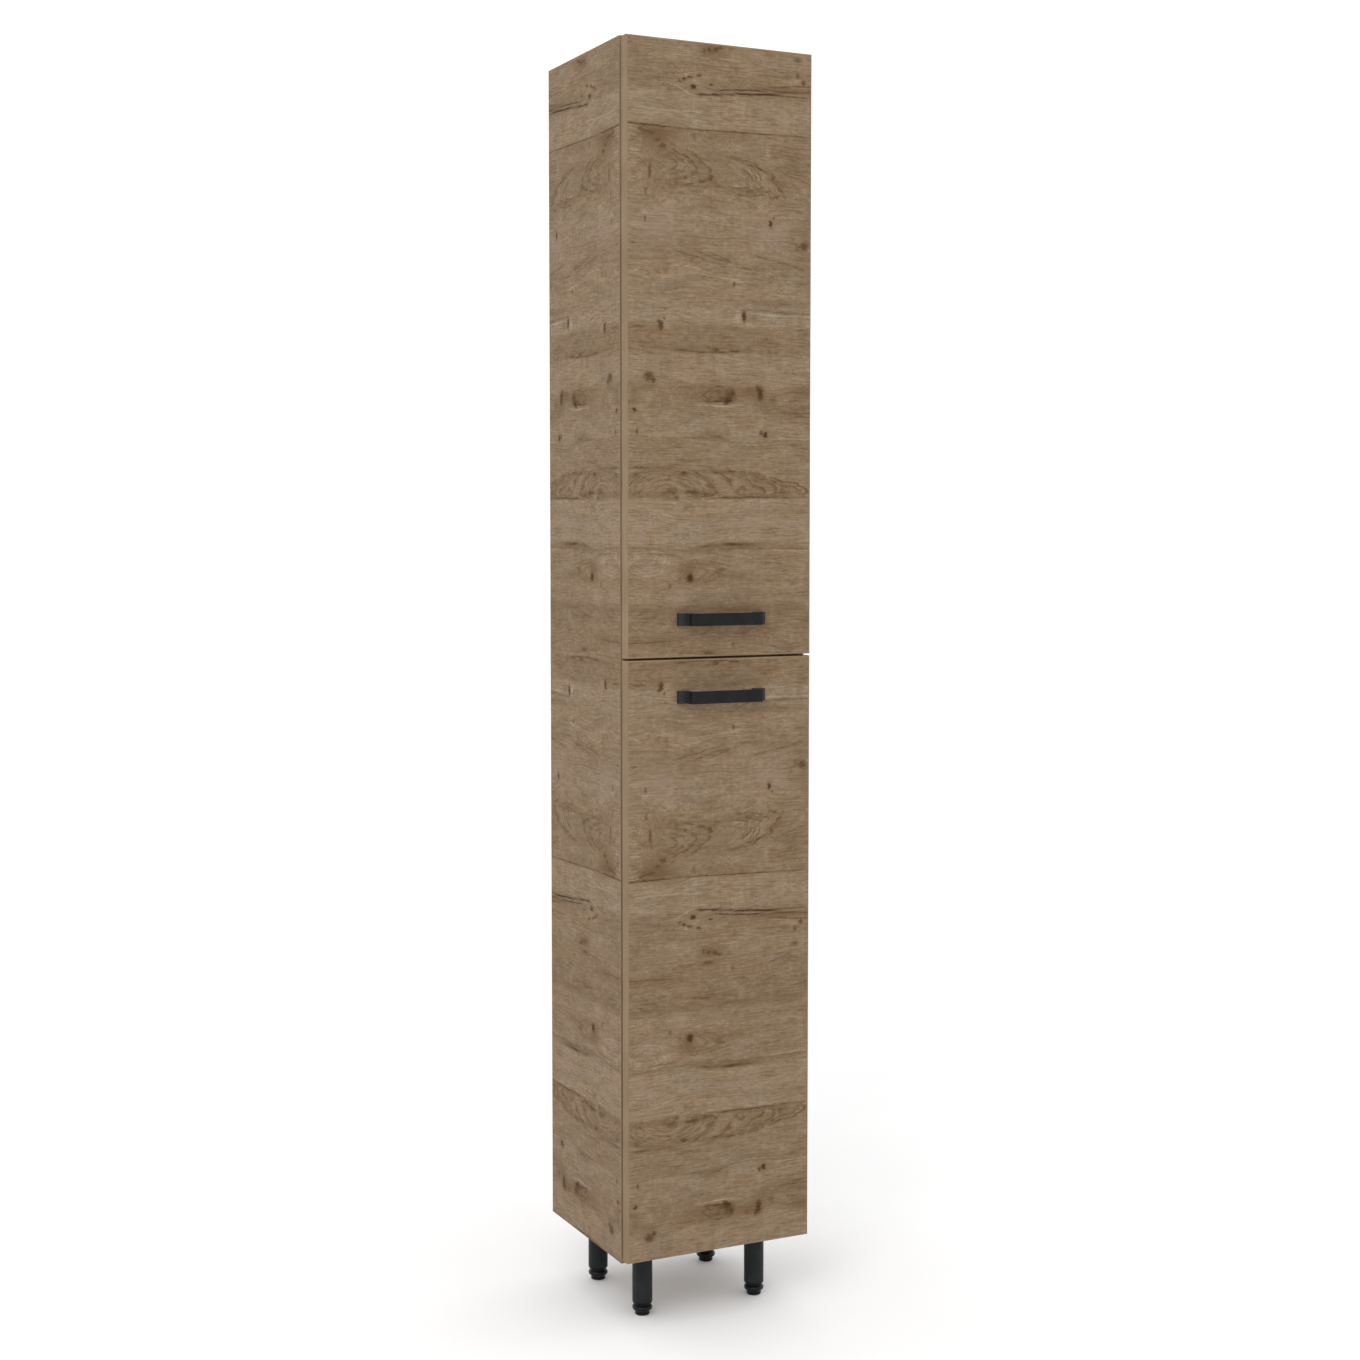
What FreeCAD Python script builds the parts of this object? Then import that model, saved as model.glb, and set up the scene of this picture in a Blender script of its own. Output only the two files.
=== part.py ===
import FreeCAD, Part
import math
import os

Vector = FreeCAD.Vector

# Carcass: sides over the full height, with top, bottom and middle shelf between them
width = 300.0
carcass_height = 1760.0
carcass_depth = 260.0
board = 18.0
carcass_band = 1.0

# Back panel, held in a groove of the sides, the top and the bottom
back_thickness = 3.0
back_inset = 10.0
groove_depth = 7.0
groove_clearance = 0.15
shelf_back_clearance = 0.2

# Loose shelves on pins
shelves_per_door = 2
shelf_setback = 20.0
shelf_side_clearance = 1.0
shelf_rear_clearance = 1.0
pin_radius = 2.5
pin_in_side = 9.0
pin_tongue = 7.0
pin_tongue_width = 8.0
pin_row_inset = 37.0
pin_hole_pitch = 32.0
blind_clearance = 0.5

# Cam locks, cam bolts and dowels in the ends of the fixed boards
fit = 0.05
cam_inset = 100.0
cam_distance = 34.0
cam_radius = 7.5
cam_height = 12.5
cam_cross = 1.4
cam_cross_depth = 3.0
bolt_radius = 3.0
bolt_in_side = 11.0
bolt_passage = 0.5
dowel_inset = 40.0
dowel_radius = 4.0
dowel_in_side = 10.0
dowel_in_board = 15.0

# Doors
door_thickness = 18.0
door_gap = 2.5
door_side_reveal = 1.0
door_top_reveal = 2.0
door_bottom_reveal = 5.0
door_seam = 3.0
door_band = 2.0
door_edge_radius = 1.5
bumper_radius = 5.0
bumper_inset = 40.0
bumper_clearance = 0.2

# Bridge handle, beside the seam between the doors
handle_projection = 25.0
handle_centres = 128.0
handle_height = 18.0
handle_bar = 6.0
handle_foot_length = 12.0
handle_foot_thickness = 7.0
handle_from_seam = 56.0
handle_corner = 3.0
handle_edge = 0.8
handle_screw_radius = 2.0
handle_screw_in_foot = 5.5
handle_screw_head = 4.0
handle_screw_head_height = 2.2
screw_passage = 0.25

# Concealed hinge: the pin sits in a cup in the door, the arm is screwed to the right side panel
hinge_inset = 100.0
hinge_pin_radius = 1.25
hinge_pin_depth = 10.0
hinge_running = 0.05
swing_clearance = 0.6
cup_radius = 17.5
cup_wall = 0.9
cup_floor = 0.7
cup_clearance = 0.1
cheek_clearance = 0.4
cheek_thickness = 2.0
cheek_reach = 3.0
eye_radius = 2.4
eye_clearance = 0.35
eye_floor_clearance = 0.3
cup_ear_width = 18.0
cup_ear_thickness = 1.2
cup_screw_offset = 22.5
cup_ear_end = 5.5
cup_screw_radius = 1.75
cup_screw_length = 12.0
cup_screw_head = 3.4
cup_screw_head_height = 1.0
hook_height = 10.0
hook_thickness = 3.0
hook_bend = 1.5
arm_height = 14.0
arm_thickness = 10.0
arm_wall = 1.2
arm_setback = 2.0
arm_length = 58.0
arm_nose = 6.0
arm_screw_from_front = 47.0
arm_screw_radius = 2.5
arm_screw_head = 4.5
arm_screw_head_height = 2.5
plate_thickness = 4.0
plate_setback = 9.0
plate_length = 54.0
plate_strip = 16.0
plate_wing = 14.0
plate_screw_from_front = 37.0
plate_screw_pitch = 32.0
plate_screw_margin = 6.0
plate_screw_radius = 2.0
plate_screw_length = 14.0
plate_screw_head = 3.6
plate_screw_head_height = 2.0

# Legs with levelling feet
leg_height = 100.0
leg_radius = 15.0
leg_wall = 1.5
leg_inset_x = 56.0
leg_inset_y = 48.5
leg_plate = 50.0
leg_plate_thickness = 3.0
leg_plate_corner = 6.0
leg_screw_offset = 17.0
leg_screw_radius = 2.0
leg_screw_length = 14.0
leg_screw_head = 3.8
leg_screw_head_height = 2.2
plug_lip = 3.5
plug_taper = 1.5
plug_length = 20.0
plug_clearance = 0.1
pad_radius = 11.0
pad_height = 6.5
pad_edge = 1.5
flange_radius = 15.0
flange_height = 8.5
neck_radius = 12.0
neck_height = 2.5
stud_radius = 4.0
stud_above_foot = 40.0
stud_in_foot = 9.0
stud_chamfer = 1.0
stud_running = 0.05

# Wall brackets under the top panel, against the back panel
bracket_inset = 42.0
bracket_width = 30.0
bracket_thickness = 2.0
bracket_drop = 40.0
bracket_reach = 30.0
wall_hole_radius = 3.25
wall_hole_drop = 25.0
wall_hole_back_clearance = 0.25
bracket_screw_spacing = 16.0
bracket_screw_reach = 18.0
bracket_screw_radius = 2.0
bracket_screw_length = 13.0
bracket_screw_head = 3.6
bracket_screw_head_height = 2.2

# Frame: the origin is on the floor, under the middle of the whole cabinet with its handles
overall_depth = carcass_depth + door_gap + door_thickness + handle_projection
rear = overall_depth / 2
front = rear - carcass_depth
door_back = front - door_gap
door_front = door_back - door_thickness
bottom = leg_height
top = leg_height + carcass_height
inner = width / 2 - board
back_rear = rear - back_inset
back_front = back_rear - back_thickness
door_edge = width / 2 - door_side_reveal
door_height = (carcass_height - door_top_reveal - door_bottom_reveal - door_seam) / 2
lower_door = (bottom + door_bottom_reveal, bottom + door_bottom_reveal + door_height)
upper_door = (lower_door[1] + door_seam, lower_door[1] + door_seam + door_height)
seam_middle = lower_door[1] + door_seam / 2

up = Vector(0, 0, 1)
backward = Vector(0, 1, 0)
forward = Vector(0, -1, 0)
sides = {"left": -1, "right": 1}

nodes = {}


def add(name, *solids):
    nodes.setdefault(name, []).extend(solids)


def block(x0, x1, y0, y1, z0, z1):
    low = Vector(min(x0, x1), min(y0, y1), min(z0, z1))
    return Part.makeBox(abs(x1 - x0), abs(y1 - y0), abs(z1 - z0), low)


def rod(radius, base, axis, length):
    return Part.makeCylinder(radius, length, base, axis)


def across(side):
    return Vector(side, 0, 0)


def cut(solid, tools):
    if not tools:
        return solid
    return solid.cut(tools).Solids[0]


def fuse(first, *others):
    return first.fuse(list(others)).removeSplitter().Solids[0]


def turned(edges):
    return Part.Face(Part.Wire(edges)).revolve(Vector(0, 0, 0), up, 360)


def turned_polygon(points):
    corners = [Vector(radius, 0, height) for radius, height in points]
    return turned(Part.makePolygon(corners + corners[:1]).Edges)


def placed(shape, base, axis=up):
    shape.Placement = FreeCAD.Placement(base, FreeCAD.Rotation(up, axis))
    return shape


# Pan-head screw with a cross recess: the head seats at base and the shank runs along axis
def screw(base, axis, shank, length, head, head_height):
    profile = [
        (0, -head_height),
        (head * 0.6, -head_height),
        (head, -head_height * 0.4),
        (head, 0),
        (shank, 0),
        (shank, length - shank),
        (shank * 0.3, length),
        (0, length),
    ]
    reach = head * 0.55
    slot = head * 0.13
    recess_floor = -head_height * 0.4
    recess = [
        block(-reach, reach, -slot, slot, -head_height, recess_floor),
        block(-slot, slot, -reach, reach, -head_height, recess_floor),
    ]
    return placed(cut(turned_polygon(profile), recess), base, axis)


# Hole for such a screw, a little deeper than its tip
def screw_hole(base, axis, shank, length):
    return rod(shank + fit, base, axis, length + blind_clearance)


# Fixed boards and the fittings in their ends
fixed_boards = {
    "top_panel": top - board,
    "middle_shelf": seam_middle - board / 2,
    "bottom_panel": bottom,
}
cam_rows = (front + cam_inset, rear - cam_inset)
dowel_rows = (front + dowel_inset, rear - dowel_inset)
side_tools = {-1: [], 1: []}
board_tools = {name: [] for name in fixed_boards}


def cam_fitting(side, y, under, tools, side_panel_tools):
    end = side * inner
    middle = under + board / 2
    inward = across(-side)
    centre = Vector(end - side * cam_distance, y, under)
    tip = Vector(end + side * bolt_in_side, y, middle)
    bolt = rod(bolt_radius, tip, inward, bolt_in_side + cam_distance)
    passage_start = Vector(end, y, middle)
    passage = rod(bolt_radius + bolt_passage, passage_start, inward, cam_distance + bolt_radius)
    cross = [
        block(centre.x - cam_radius * 0.6, centre.x + cam_radius * 0.6, y - cam_cross / 2,
              y + cam_cross / 2, under, under + cam_cross_depth),
        block(centre.x - cam_cross / 2, centre.x + cam_cross / 2, y - cam_radius * 0.6,
              y + cam_radius * 0.6, under, under + cam_cross_depth),
    ]
    cam = cut(rod(cam_radius - fit, centre, up, cam_height), cross + [passage])
    add("cam_bolts", bolt)
    add("cam_locks", cam)
    tools += [passage, rod(cam_radius, centre, up, cam_height + blind_clearance)]
    side_panel_tools.append(screw_hole(passage_start, across(side), bolt_radius, bolt_in_side))


def dowel_fitting(side, y, under, tools, side_panel_tools):
    end = Vector(side * (inner + dowel_in_side), y, under + board / 2)
    hole_end = end + across(side) * blind_clearance
    length = dowel_in_side + dowel_in_board
    add("wooden_dowels", rod(dowel_radius, end, across(-side), length))
    hole = rod(dowel_radius + fit, hole_end, across(-side), length + 2 * blind_clearance)
    tools.append(hole)
    side_panel_tools.append(hole)


for name, under in fixed_boards.items():
    for side in sides.values():
        for y in cam_rows:
            cam_fitting(side, y, under, board_tools[name], side_tools[side])
        for y in dowel_rows:
            dowel_fitting(side, y, under, board_tools[name], side_tools[side])


# Groove that takes the back panel's edges, cut groove_depth into the inner faces
groove_front = back_front - groove_clearance
groove_rear = back_rear + groove_clearance
for side in sides.values():
    side_tools[side].append(block(side * inner, side * (inner + groove_depth), groove_front, groove_rear,
                                  bottom, top))
board_tools["top_panel"].append(block(-inner, inner, groove_front, groove_rear,
                                      top - board, top - board + groove_depth))
board_tools["bottom_panel"].append(block(-inner, inner, groove_front, groove_rear,
                                         bottom + board - groove_depth, bottom + board))


# Loose shelves, evenly spaced in each compartment, and the pins that carry them
shelf_front = front + shelf_setback
shelf_rear = back_front - shelf_rear_clearance
shelf_half = inner - shelf_side_clearance
pin_rows = (shelf_front + pin_row_inset, shelf_rear - pin_row_inset)
compartments = {
    "lower": (bottom + board, seam_middle - board / 2),
    "upper": (seam_middle + board / 2, top - board),
}


def shelf_pin(side, y, under):
    axis_height = under - pin_radius
    wall = Vector(side * inner, y, axis_height)
    stud = rod(pin_radius, wall, across(side), pin_in_side)
    tongue = block(side * inner, side * (inner - pin_tongue), y - pin_tongue_width / 2,
                   y + pin_tongue_width / 2, axis_height - pin_radius, under)
    return fuse(stud, tongue)


def pin_hole(side, y, height):
    return screw_hole(Vector(side * inner, y, height), across(side), pin_radius, pin_in_side)


for place, (floor, ceiling) in compartments.items():
    pitch = (ceiling - floor - shelves_per_door * board) / (shelves_per_door + 1) + board
    for number in range(1, shelves_per_door + 1):
        under = floor + number * pitch - board
        add(f"{place}_shelf_{number}", block(-shelf_half, shelf_half, shelf_front + carcass_band, shelf_rear,
                                             under, under + board))
        add("shelf_edge_bands", block(-shelf_half, shelf_half, shelf_front, shelf_front + carcass_band,
                                      under, under + board))
        for side in sides.values():
            for y in pin_rows:
                add(f"{place}_shelf_pins", shelf_pin(side, y, under))
                for step in (-1, 0, 1):
                    height = under - pin_radius + step * pin_hole_pitch
                    side_tools[side].append(pin_hole(side, y, height))


# Hinge places shared by the doors, the cups and the arms
corner_saving = (math.sqrt(2) - 1) * door_edge_radius
pin_reach = hinge_pin_depth + door_gap + corner_saving - swing_clearance
pin_from_edge = math.sqrt(pin_reach ** 2 - hinge_pin_depth ** 2)
pin_x = door_edge - pin_from_edge
pin_y = door_back - hinge_pin_depth
cup_outer = cup_radius - cup_clearance
cup_inner = cup_outer - cup_wall
pin_from_cup = math.sqrt(cup_inner ** 2 - (hook_height / 2) ** 2) - eye_radius - eye_clearance
cup_x = pin_x - pin_from_cup
cup_depth = hinge_pin_depth + eye_radius + eye_floor_clearance + cup_floor
arm_right = inner - plate_thickness
arm_left = arm_right - arm_thickness
hook_left = arm_right - hook_thickness
doors = {"upper": upper_door, "lower": lower_door}
hinge_heights = {place: (z0 + hinge_inset, z1 - hinge_inset) for place, (z0, z1) in doors.items()}


# Arm: a channel on the plate, whose nose carries the hook that reaches the pin in the cup
def hinge_arm(height):
    y0 = front + arm_setback
    y1 = y0 + arm_length
    half = arm_height / 2
    channel = block(arm_left, arm_right, y0, y1, height - half, height + half)
    hollow = block(arm_left + arm_wall, arm_right, y0 + arm_nose, y1, height - half + arm_wall,
                   height + half - arm_wall)
    low = height - hook_height / 2
    high = height + hook_height / 2
    shank = block(hook_left, arm_right, pin_y - hook_thickness / 2, y0, low, high)
    toe = block(hook_left, pin_x, pin_y - hook_thickness / 2, pin_y + hook_thickness / 2, low, high)
    bent = fuse(shank, toe)
    outer_edges = [edge for edge in bent.Edges
                   if abs(edge.CenterOfMass.x - hook_left) < fit
                   and abs(edge.CenterOfMass.y - (pin_y - hook_thickness / 2)) < fit
                   and edge.Length > hook_height - fit]
    bent = bent.makeFillet(hook_bend, outer_edges)
    eye = rod(eye_radius, Vector(pin_x, pin_y, low), up, hook_height)
    bore = rod(hinge_pin_radius + hinge_running, Vector(pin_x, pin_y, low), up, hook_height)
    screw_way = rod(arm_screw_radius + fit, Vector(arm_left, front + arm_screw_from_front, height),
                    across(1), arm_wall)
    arm = fuse(cut(channel, [hollow]), bent, eye)
    return cut(arm, [bore, screw_way])


def hinge_plate(height):
    y0 = front + plate_setback
    strip = block(arm_right, inner, y0, y0 + plate_length, height - plate_strip / 2, height + plate_strip / 2)
    wing_half = plate_screw_pitch / 2 + plate_screw_margin
    y_wing = front + plate_screw_from_front
    wing = block(arm_right, inner, y_wing - plate_wing / 2, y_wing + plate_wing / 2,
                 height - wing_half, height + wing_half)
    tools = [rod(arm_screw_radius + fit, Vector(arm_right, front + arm_screw_from_front, height), across(1),
                 plate_thickness)]
    for step in (-1, 1):
        seat = Vector(arm_right, y_wing, height + step * plate_screw_pitch / 2)
        add("hinge_plate_screws", screw(seat, across(1), plate_screw_radius, plate_screw_length,
                                        plate_screw_head, plate_screw_head_height))
        hole = screw_hole(seat, across(1), plate_screw_radius, plate_screw_length)
        tools.append(hole)
        side_tools[1].append(hole)
    add("hinge_arm_screws", screw(Vector(arm_left, front + arm_screw_from_front, height), across(1),
                                  arm_screw_radius, arm_thickness + plate_thickness - blind_clearance,
                                  arm_screw_head, arm_screw_head_height))
    return cut(fuse(strip, wing), tools)


# Cup: a pressed shell in the door with two screw ears, and two cheeks that carry the pin
def hinge_cup(height):
    centre = Vector(cup_x, door_back, height)
    shell = rod(cup_outer, centre, forward, cup_depth)
    ear_half = cup_screw_offset + cup_ear_end
    ears = block(cup_x - cup_ear_width / 2, cup_x + cup_ear_width / 2, door_back,
                 door_back + cup_ear_thickness, height - ear_half, height + ear_half)
    mouth = centre + backward * cup_ear_thickness
    tools = [rod(cup_inner, mouth, forward, cup_ear_thickness + cup_depth - cup_floor)]
    for seat in cup_screw_seats(height):
        tools.append(screw_hole(seat, forward, cup_screw_radius, cup_ear_thickness))
    cup = cut(fuse(shell, ears), tools)
    near = hook_height / 2 + cheek_clearance
    far = near + cheek_thickness
    cheeks = [block(pin_x - cheek_reach, pin_x + cheek_reach, pin_y + cheek_reach, door_back - cup_depth,
                    height + step * near, height + step * far) for step in (-1, 1)]
    cup = fuse(cup, *[cheek.common(shell).Solids[0] for cheek in cheeks])
    return cut(cup, [hinge_pin(height, fit)])


def cup_screw_seats(height):
    y = door_back + cup_ear_thickness
    return [Vector(cup_x, y, height + step * cup_screw_offset) for step in (-1, 1)]


def hinge_pin(height, extra=0.0):
    half = hook_height / 2 + cheek_clearance + cheek_thickness + extra
    return rod(hinge_pin_radius + extra, Vector(pin_x, pin_y, height - half), up, 2 * half)


# Handle: two screwed feet, two legs and a flat bar, in one casting
handle_middles = {"upper": seam_middle + handle_from_seam, "lower": seam_middle - handle_from_seam}


def handle(middle):
    foot_in = handle_centres / 2 - handle_foot_length / 2
    foot_out = handle_centres / 2 + handle_foot_length / 2
    leg_in = foot_in - handle_bar
    outline = [
        (-foot_out, 0), (-foot_out, handle_foot_thickness), (-foot_in, handle_foot_thickness),
        (-foot_in, handle_projection), (foot_in, handle_projection), (foot_in, handle_foot_thickness),
        (foot_out, handle_foot_thickness), (foot_out, 0), (leg_in, 0),
        (leg_in, handle_projection - handle_bar), (-leg_in, handle_projection - handle_bar), (-leg_in, 0),
    ]
    low = middle - handle_height / 2
    corners = [Vector(x, door_front - out, low) for x, out in outline]
    casting = Part.Face(Part.makePolygon(corners + corners[:1])).extrude(up * handle_height)
    bends = [edge for edge in casting.Edges
             if edge.Length > handle_height - fit and abs(edge.tangentAt(0).z) > 0.9
             and abs(edge.CenterOfMass.y - (door_front - handle_projection)) < fit]
    casting = casting.makeFillet(handle_corner, bends)
    rims = [edge for edge in casting.Edges
            if abs(abs(edge.CenterOfMass.z - middle) - handle_height / 2) < fit
            and edge.BoundBox.YMin < door_front - handle_foot_thickness - fit]
    casting = casting.makeFillet(handle_edge, rims)
    return cut(casting, [rod(handle_screw_radius + fit, seat, forward, handle_screw_in_foot + fit)
                         for seat in handle_seats(middle, door_front)])


def handle_seats(middle, y):
    return [Vector(step * handle_centres / 2, y, middle) for step in (-1, 1)]


# Door leaf: a board with a rounded band round its four edges
def door_leaf(z0, z1, tools):
    leaf = block(-door_edge, door_edge, door_front, door_back, z0, z1)
    rims = [edge for edge in leaf.Edges if abs(edge.tangentAt(0).y) < 0.5]
    leaf = leaf.makeFillet(min(door_edge_radius, door_band), rims)
    core = block(-door_edge + door_band, door_edge - door_band, door_front, door_back,
                 z0 + door_band, z1 - door_band)
    return cut(core, tools), cut(leaf, [core])


for place, (z0, z1) in doors.items():
    middle = handle_middles[place]
    tools = []
    for height in hinge_heights[place]:
        add("hinge_arms", hinge_arm(height))
        add("hinge_mounting_plates", hinge_plate(height))
        add(f"{place}_hinge_cups", hinge_cup(height))
        add(f"{place}_hinge_pins", hinge_pin(height))
        tools.append(rod(cup_radius, Vector(cup_x, door_back, height), forward, cup_depth + cup_clearance))
        for seat in cup_screw_seats(height):
            add(f"{place}_hinge_cup_screws", screw(seat, forward, cup_screw_radius, cup_screw_length,
                                                   cup_screw_head, cup_screw_head_height))
            tools.append(screw_hole(seat, forward, cup_screw_radius, cup_screw_length))
    add(f"{place}_door_handle", handle(middle))
    for seat in handle_seats(middle, door_back):
        add(f"{place}_handle_screws", screw(seat, forward, handle_screw_radius,
                                            door_thickness + handle_screw_in_foot,
                                            handle_screw_head, handle_screw_head_height))
        tools.append(rod(handle_screw_radius + screw_passage, seat, forward, door_thickness))
    core, band = door_leaf(z0, z1, tools)
    add(f"{place}_door_panel", core)
    add(f"{place}_door_edge_band", band)
    for height in (z0 + bumper_inset, z1 - bumper_inset):
        centre = Vector(-(inner + board / 2), door_back, height)
        add(f"{place}_door_bumpers", rod(bumper_radius, centre, backward, door_gap - bumper_clearance))


# Legs: a plate under the bottom panel, a tube, a threaded end plug and a levelling foot
foot_height = pad_height + flange_height + neck_height
tube_foot = foot_height + plug_lip
tube_top = leg_height - leg_plate_thickness


def leg_plate_solid(x, y):
    half = leg_plate / 2
    plate = block(x - half, x + half, y - half, y + half, tube_top, leg_height)
    uprights = [edge for edge in plate.Edges if abs(edge.tangentAt(0).z) > 0.9]
    plate = plate.makeFillet(leg_plate_corner, uprights)
    tools = []
    for step_x in (-1, 1):
        for step_y in (-1, 1):
            seat = Vector(x + step_x * leg_screw_offset, y + step_y * leg_screw_offset, tube_top)
            add("leg_plate_screws", screw(seat, up, leg_screw_radius, leg_screw_length, leg_screw_head,
                                          leg_screw_head_height))
            hole = screw_hole(seat, up, leg_screw_radius, leg_screw_length)
            tools.append(hole)
            board_tools["bottom_panel"].append(hole)
    return cut(plate, tools)


def end_plug():
    bore = stud_radius + stud_running
    body = leg_radius - leg_wall - plug_clearance
    return turned_polygon([
        (bore, foot_height),
        (leg_radius - plug_taper, foot_height),
        (leg_radius, foot_height + plug_lip / 2),
        (leg_radius, tube_foot),
        (body, tube_foot),
        (body, tube_foot + plug_length),
        (bore, tube_foot + plug_length),
    ])


# Moulded foot: a pad with a rounded lower edge, a bulging flange and a neck, with the stud's socket
def foot_moulding():
    bulge = flange_height / 2
    flange_top = pad_height + flange_height
    socket = stud_radius + fit
    socket_floor = foot_height - stud_in_foot
    slant = pad_edge * math.sqrt(0.5)
    rim = Part.Arc(Vector(pad_radius - pad_edge, 0, 0),
                   Vector(pad_radius - pad_edge + slant, 0, pad_edge - slant),
                   Vector(pad_radius, 0, pad_edge))
    swell = Part.Arc(Vector(flange_radius - bulge, 0, pad_height),
                     Vector(flange_radius, 0, pad_height + bulge),
                     Vector(flange_radius - bulge, 0, flange_top))
    upper_outline = [
        (flange_radius - bulge, flange_top), (neck_radius, flange_top), (neck_radius, foot_height),
        (socket, foot_height), (socket, socket_floor), (0, socket_floor), (0, 0), (pad_radius - pad_edge, 0),
    ]
    edges = [rim.toShape()]
    edges += Part.makePolygon([Vector(pad_radius, 0, pad_edge), Vector(pad_radius, 0, pad_height),
                               Vector(flange_radius - bulge, 0, pad_height)]).Edges
    edges.append(swell.toShape())
    edges += Part.makePolygon([Vector(r, 0, z) for r, z in upper_outline]).Edges
    return turned(edges)


def stud():
    low = foot_height - stud_in_foot
    high = foot_height + stud_above_foot
    return turned_polygon([(0, low), (stud_radius, low), (stud_radius, high - stud_chamfer),
                           (stud_radius - stud_chamfer, high), (0, high)])


leg_x = width / 2 - leg_inset_x
leg_rows = {"front": front + leg_inset_y, "rear": rear - leg_inset_y}
for row, y in leg_rows.items():
    for hand, side in sides.items():
        place = Vector(side * leg_x, y, 0)
        add("leg_mounting_plates", leg_plate_solid(place.x, y))
        tube = rod(leg_radius, place + up * tube_foot, up, tube_top - tube_foot)
        bore = rod(leg_radius - leg_wall, place + up * tube_foot, up, tube_top - tube_foot)
        add(f"{row}_{hand}_leg", cut(tube, [bore]))
        add("leg_end_plugs", placed(end_plug(), place))
        add(f"{row}_{hand}_foot", placed(foot_moulding(), place))
        add(f"{row}_{hand}_foot_stud", placed(stud(), place))


# Wall brackets: an angle under the top panel, with one hole for a wall screw through the back panel
def wall_bracket(side):
    x = side * (inner - bracket_inset)
    under = top - board
    half = bracket_width / 2
    shelf_leg = block(x - half, x + half, back_front - bracket_reach, back_front,
                      under - bracket_thickness, under)
    wall_leg = block(x - half, x + half, back_front - bracket_thickness, back_front,
                     under - bracket_drop, under)
    wall_hole = Vector(x, back_front - bracket_thickness, under - wall_hole_drop)
    tools = [rod(wall_hole_radius, wall_hole, backward, bracket_thickness)]
    for step in (-1, 1):
        seat = Vector(x + step * bracket_screw_spacing / 2, back_front - bracket_screw_reach,
                      under - bracket_thickness)
        add("wall_bracket_screws", screw(seat, up, bracket_screw_radius, bracket_screw_length,
                                         bracket_screw_head, bracket_screw_head_height))
        hole = screw_hole(seat, up, bracket_screw_radius, bracket_screw_length)
        tools.append(hole)
        board_tools["top_panel"].append(hole)
    back_hole = rod(wall_hole_radius + wall_hole_back_clearance, wall_hole, backward,
                    bracket_thickness + back_thickness)
    add("wall_brackets", cut(fuse(shelf_leg, wall_leg), tools))
    return back_hole


back_tools = [wall_bracket(side) for side in sides.values()]


# Boards, once every fitting has left its hole in them
back_half = inner + groove_depth - groove_clearance
add("back_panel", cut(block(-back_half, back_half, back_front, back_rear,
                            bottom + board - groove_depth + groove_clearance,
                            top - board + groove_depth - groove_clearance), back_tools))
for hand, side in sides.items():
    side_board = block(side * inner, side * width / 2, front + carcass_band, rear, bottom, top)
    add(f"{hand}_side_panel", cut(side_board, side_tools[side]))
    add("carcass_edge_bands", block(side * inner, side * width / 2, front, front + carcass_band, bottom, top))
for name, under in fixed_boards.items():
    board_rear = back_front - shelf_back_clearance if name == "middle_shelf" else rear
    plain = block(-inner, inner, front + carcass_band, board_rear, under, under + board)
    add(name, cut(plain, board_tools[name]))
    add("carcass_edge_bands", block(-inner, inner, front, front + carcass_band, under, under + board))


os.makedirs("parts", exist_ok=True)
for name, solids in nodes.items():
    shape = solids[0] if len(solids) == 1 else Part.makeCompound(solids)
    shape.exportStep(os.path.join("parts", f"{name}.step"))
print(len(nodes), "nodes, hinge pins at x", round(pin_x, 3), "y", round(pin_y, 3))
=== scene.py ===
import math

import bpy
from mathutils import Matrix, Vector


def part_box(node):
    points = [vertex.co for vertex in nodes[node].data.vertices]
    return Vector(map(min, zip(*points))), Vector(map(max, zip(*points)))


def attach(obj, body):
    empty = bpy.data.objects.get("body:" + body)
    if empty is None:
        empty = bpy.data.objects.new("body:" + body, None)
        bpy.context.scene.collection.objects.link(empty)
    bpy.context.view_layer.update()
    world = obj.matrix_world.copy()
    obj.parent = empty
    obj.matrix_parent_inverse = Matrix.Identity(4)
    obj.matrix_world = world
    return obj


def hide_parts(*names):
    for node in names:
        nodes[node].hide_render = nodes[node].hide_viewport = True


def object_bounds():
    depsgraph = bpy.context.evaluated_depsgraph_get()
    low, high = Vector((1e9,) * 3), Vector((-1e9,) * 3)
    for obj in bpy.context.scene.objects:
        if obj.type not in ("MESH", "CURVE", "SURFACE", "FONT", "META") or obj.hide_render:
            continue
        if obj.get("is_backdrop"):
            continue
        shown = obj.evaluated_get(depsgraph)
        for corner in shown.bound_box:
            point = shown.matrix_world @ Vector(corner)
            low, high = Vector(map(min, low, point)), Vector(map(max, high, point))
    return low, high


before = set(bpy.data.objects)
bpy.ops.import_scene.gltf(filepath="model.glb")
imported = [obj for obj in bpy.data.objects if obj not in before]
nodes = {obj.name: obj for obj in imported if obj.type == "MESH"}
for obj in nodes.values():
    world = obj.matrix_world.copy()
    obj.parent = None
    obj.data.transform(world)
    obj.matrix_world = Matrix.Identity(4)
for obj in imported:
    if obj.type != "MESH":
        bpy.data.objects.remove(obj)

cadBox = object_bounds()
print("frame loaded:", len(nodes), "nodes")


# Node helpers

def addNode(tree, kind, **settings):
    made = tree.nodes.new(kind)
    for name, value in settings.items():
        setattr(made, name, value)
    return made


def feed(tree, socket, value):
    if isinstance(value, bpy.types.NodeSocket):
        tree.links.new(value, socket)
    else:
        socket.default_value = value


def calc(tree, operation, *values, clamp=False):
    made = addNode(tree, "ShaderNodeMath", operation=operation, use_clamp=clamp)
    for socket, value in zip(made.inputs, values):
        feed(tree, socket, value)
    return made.outputs[0]


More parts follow.
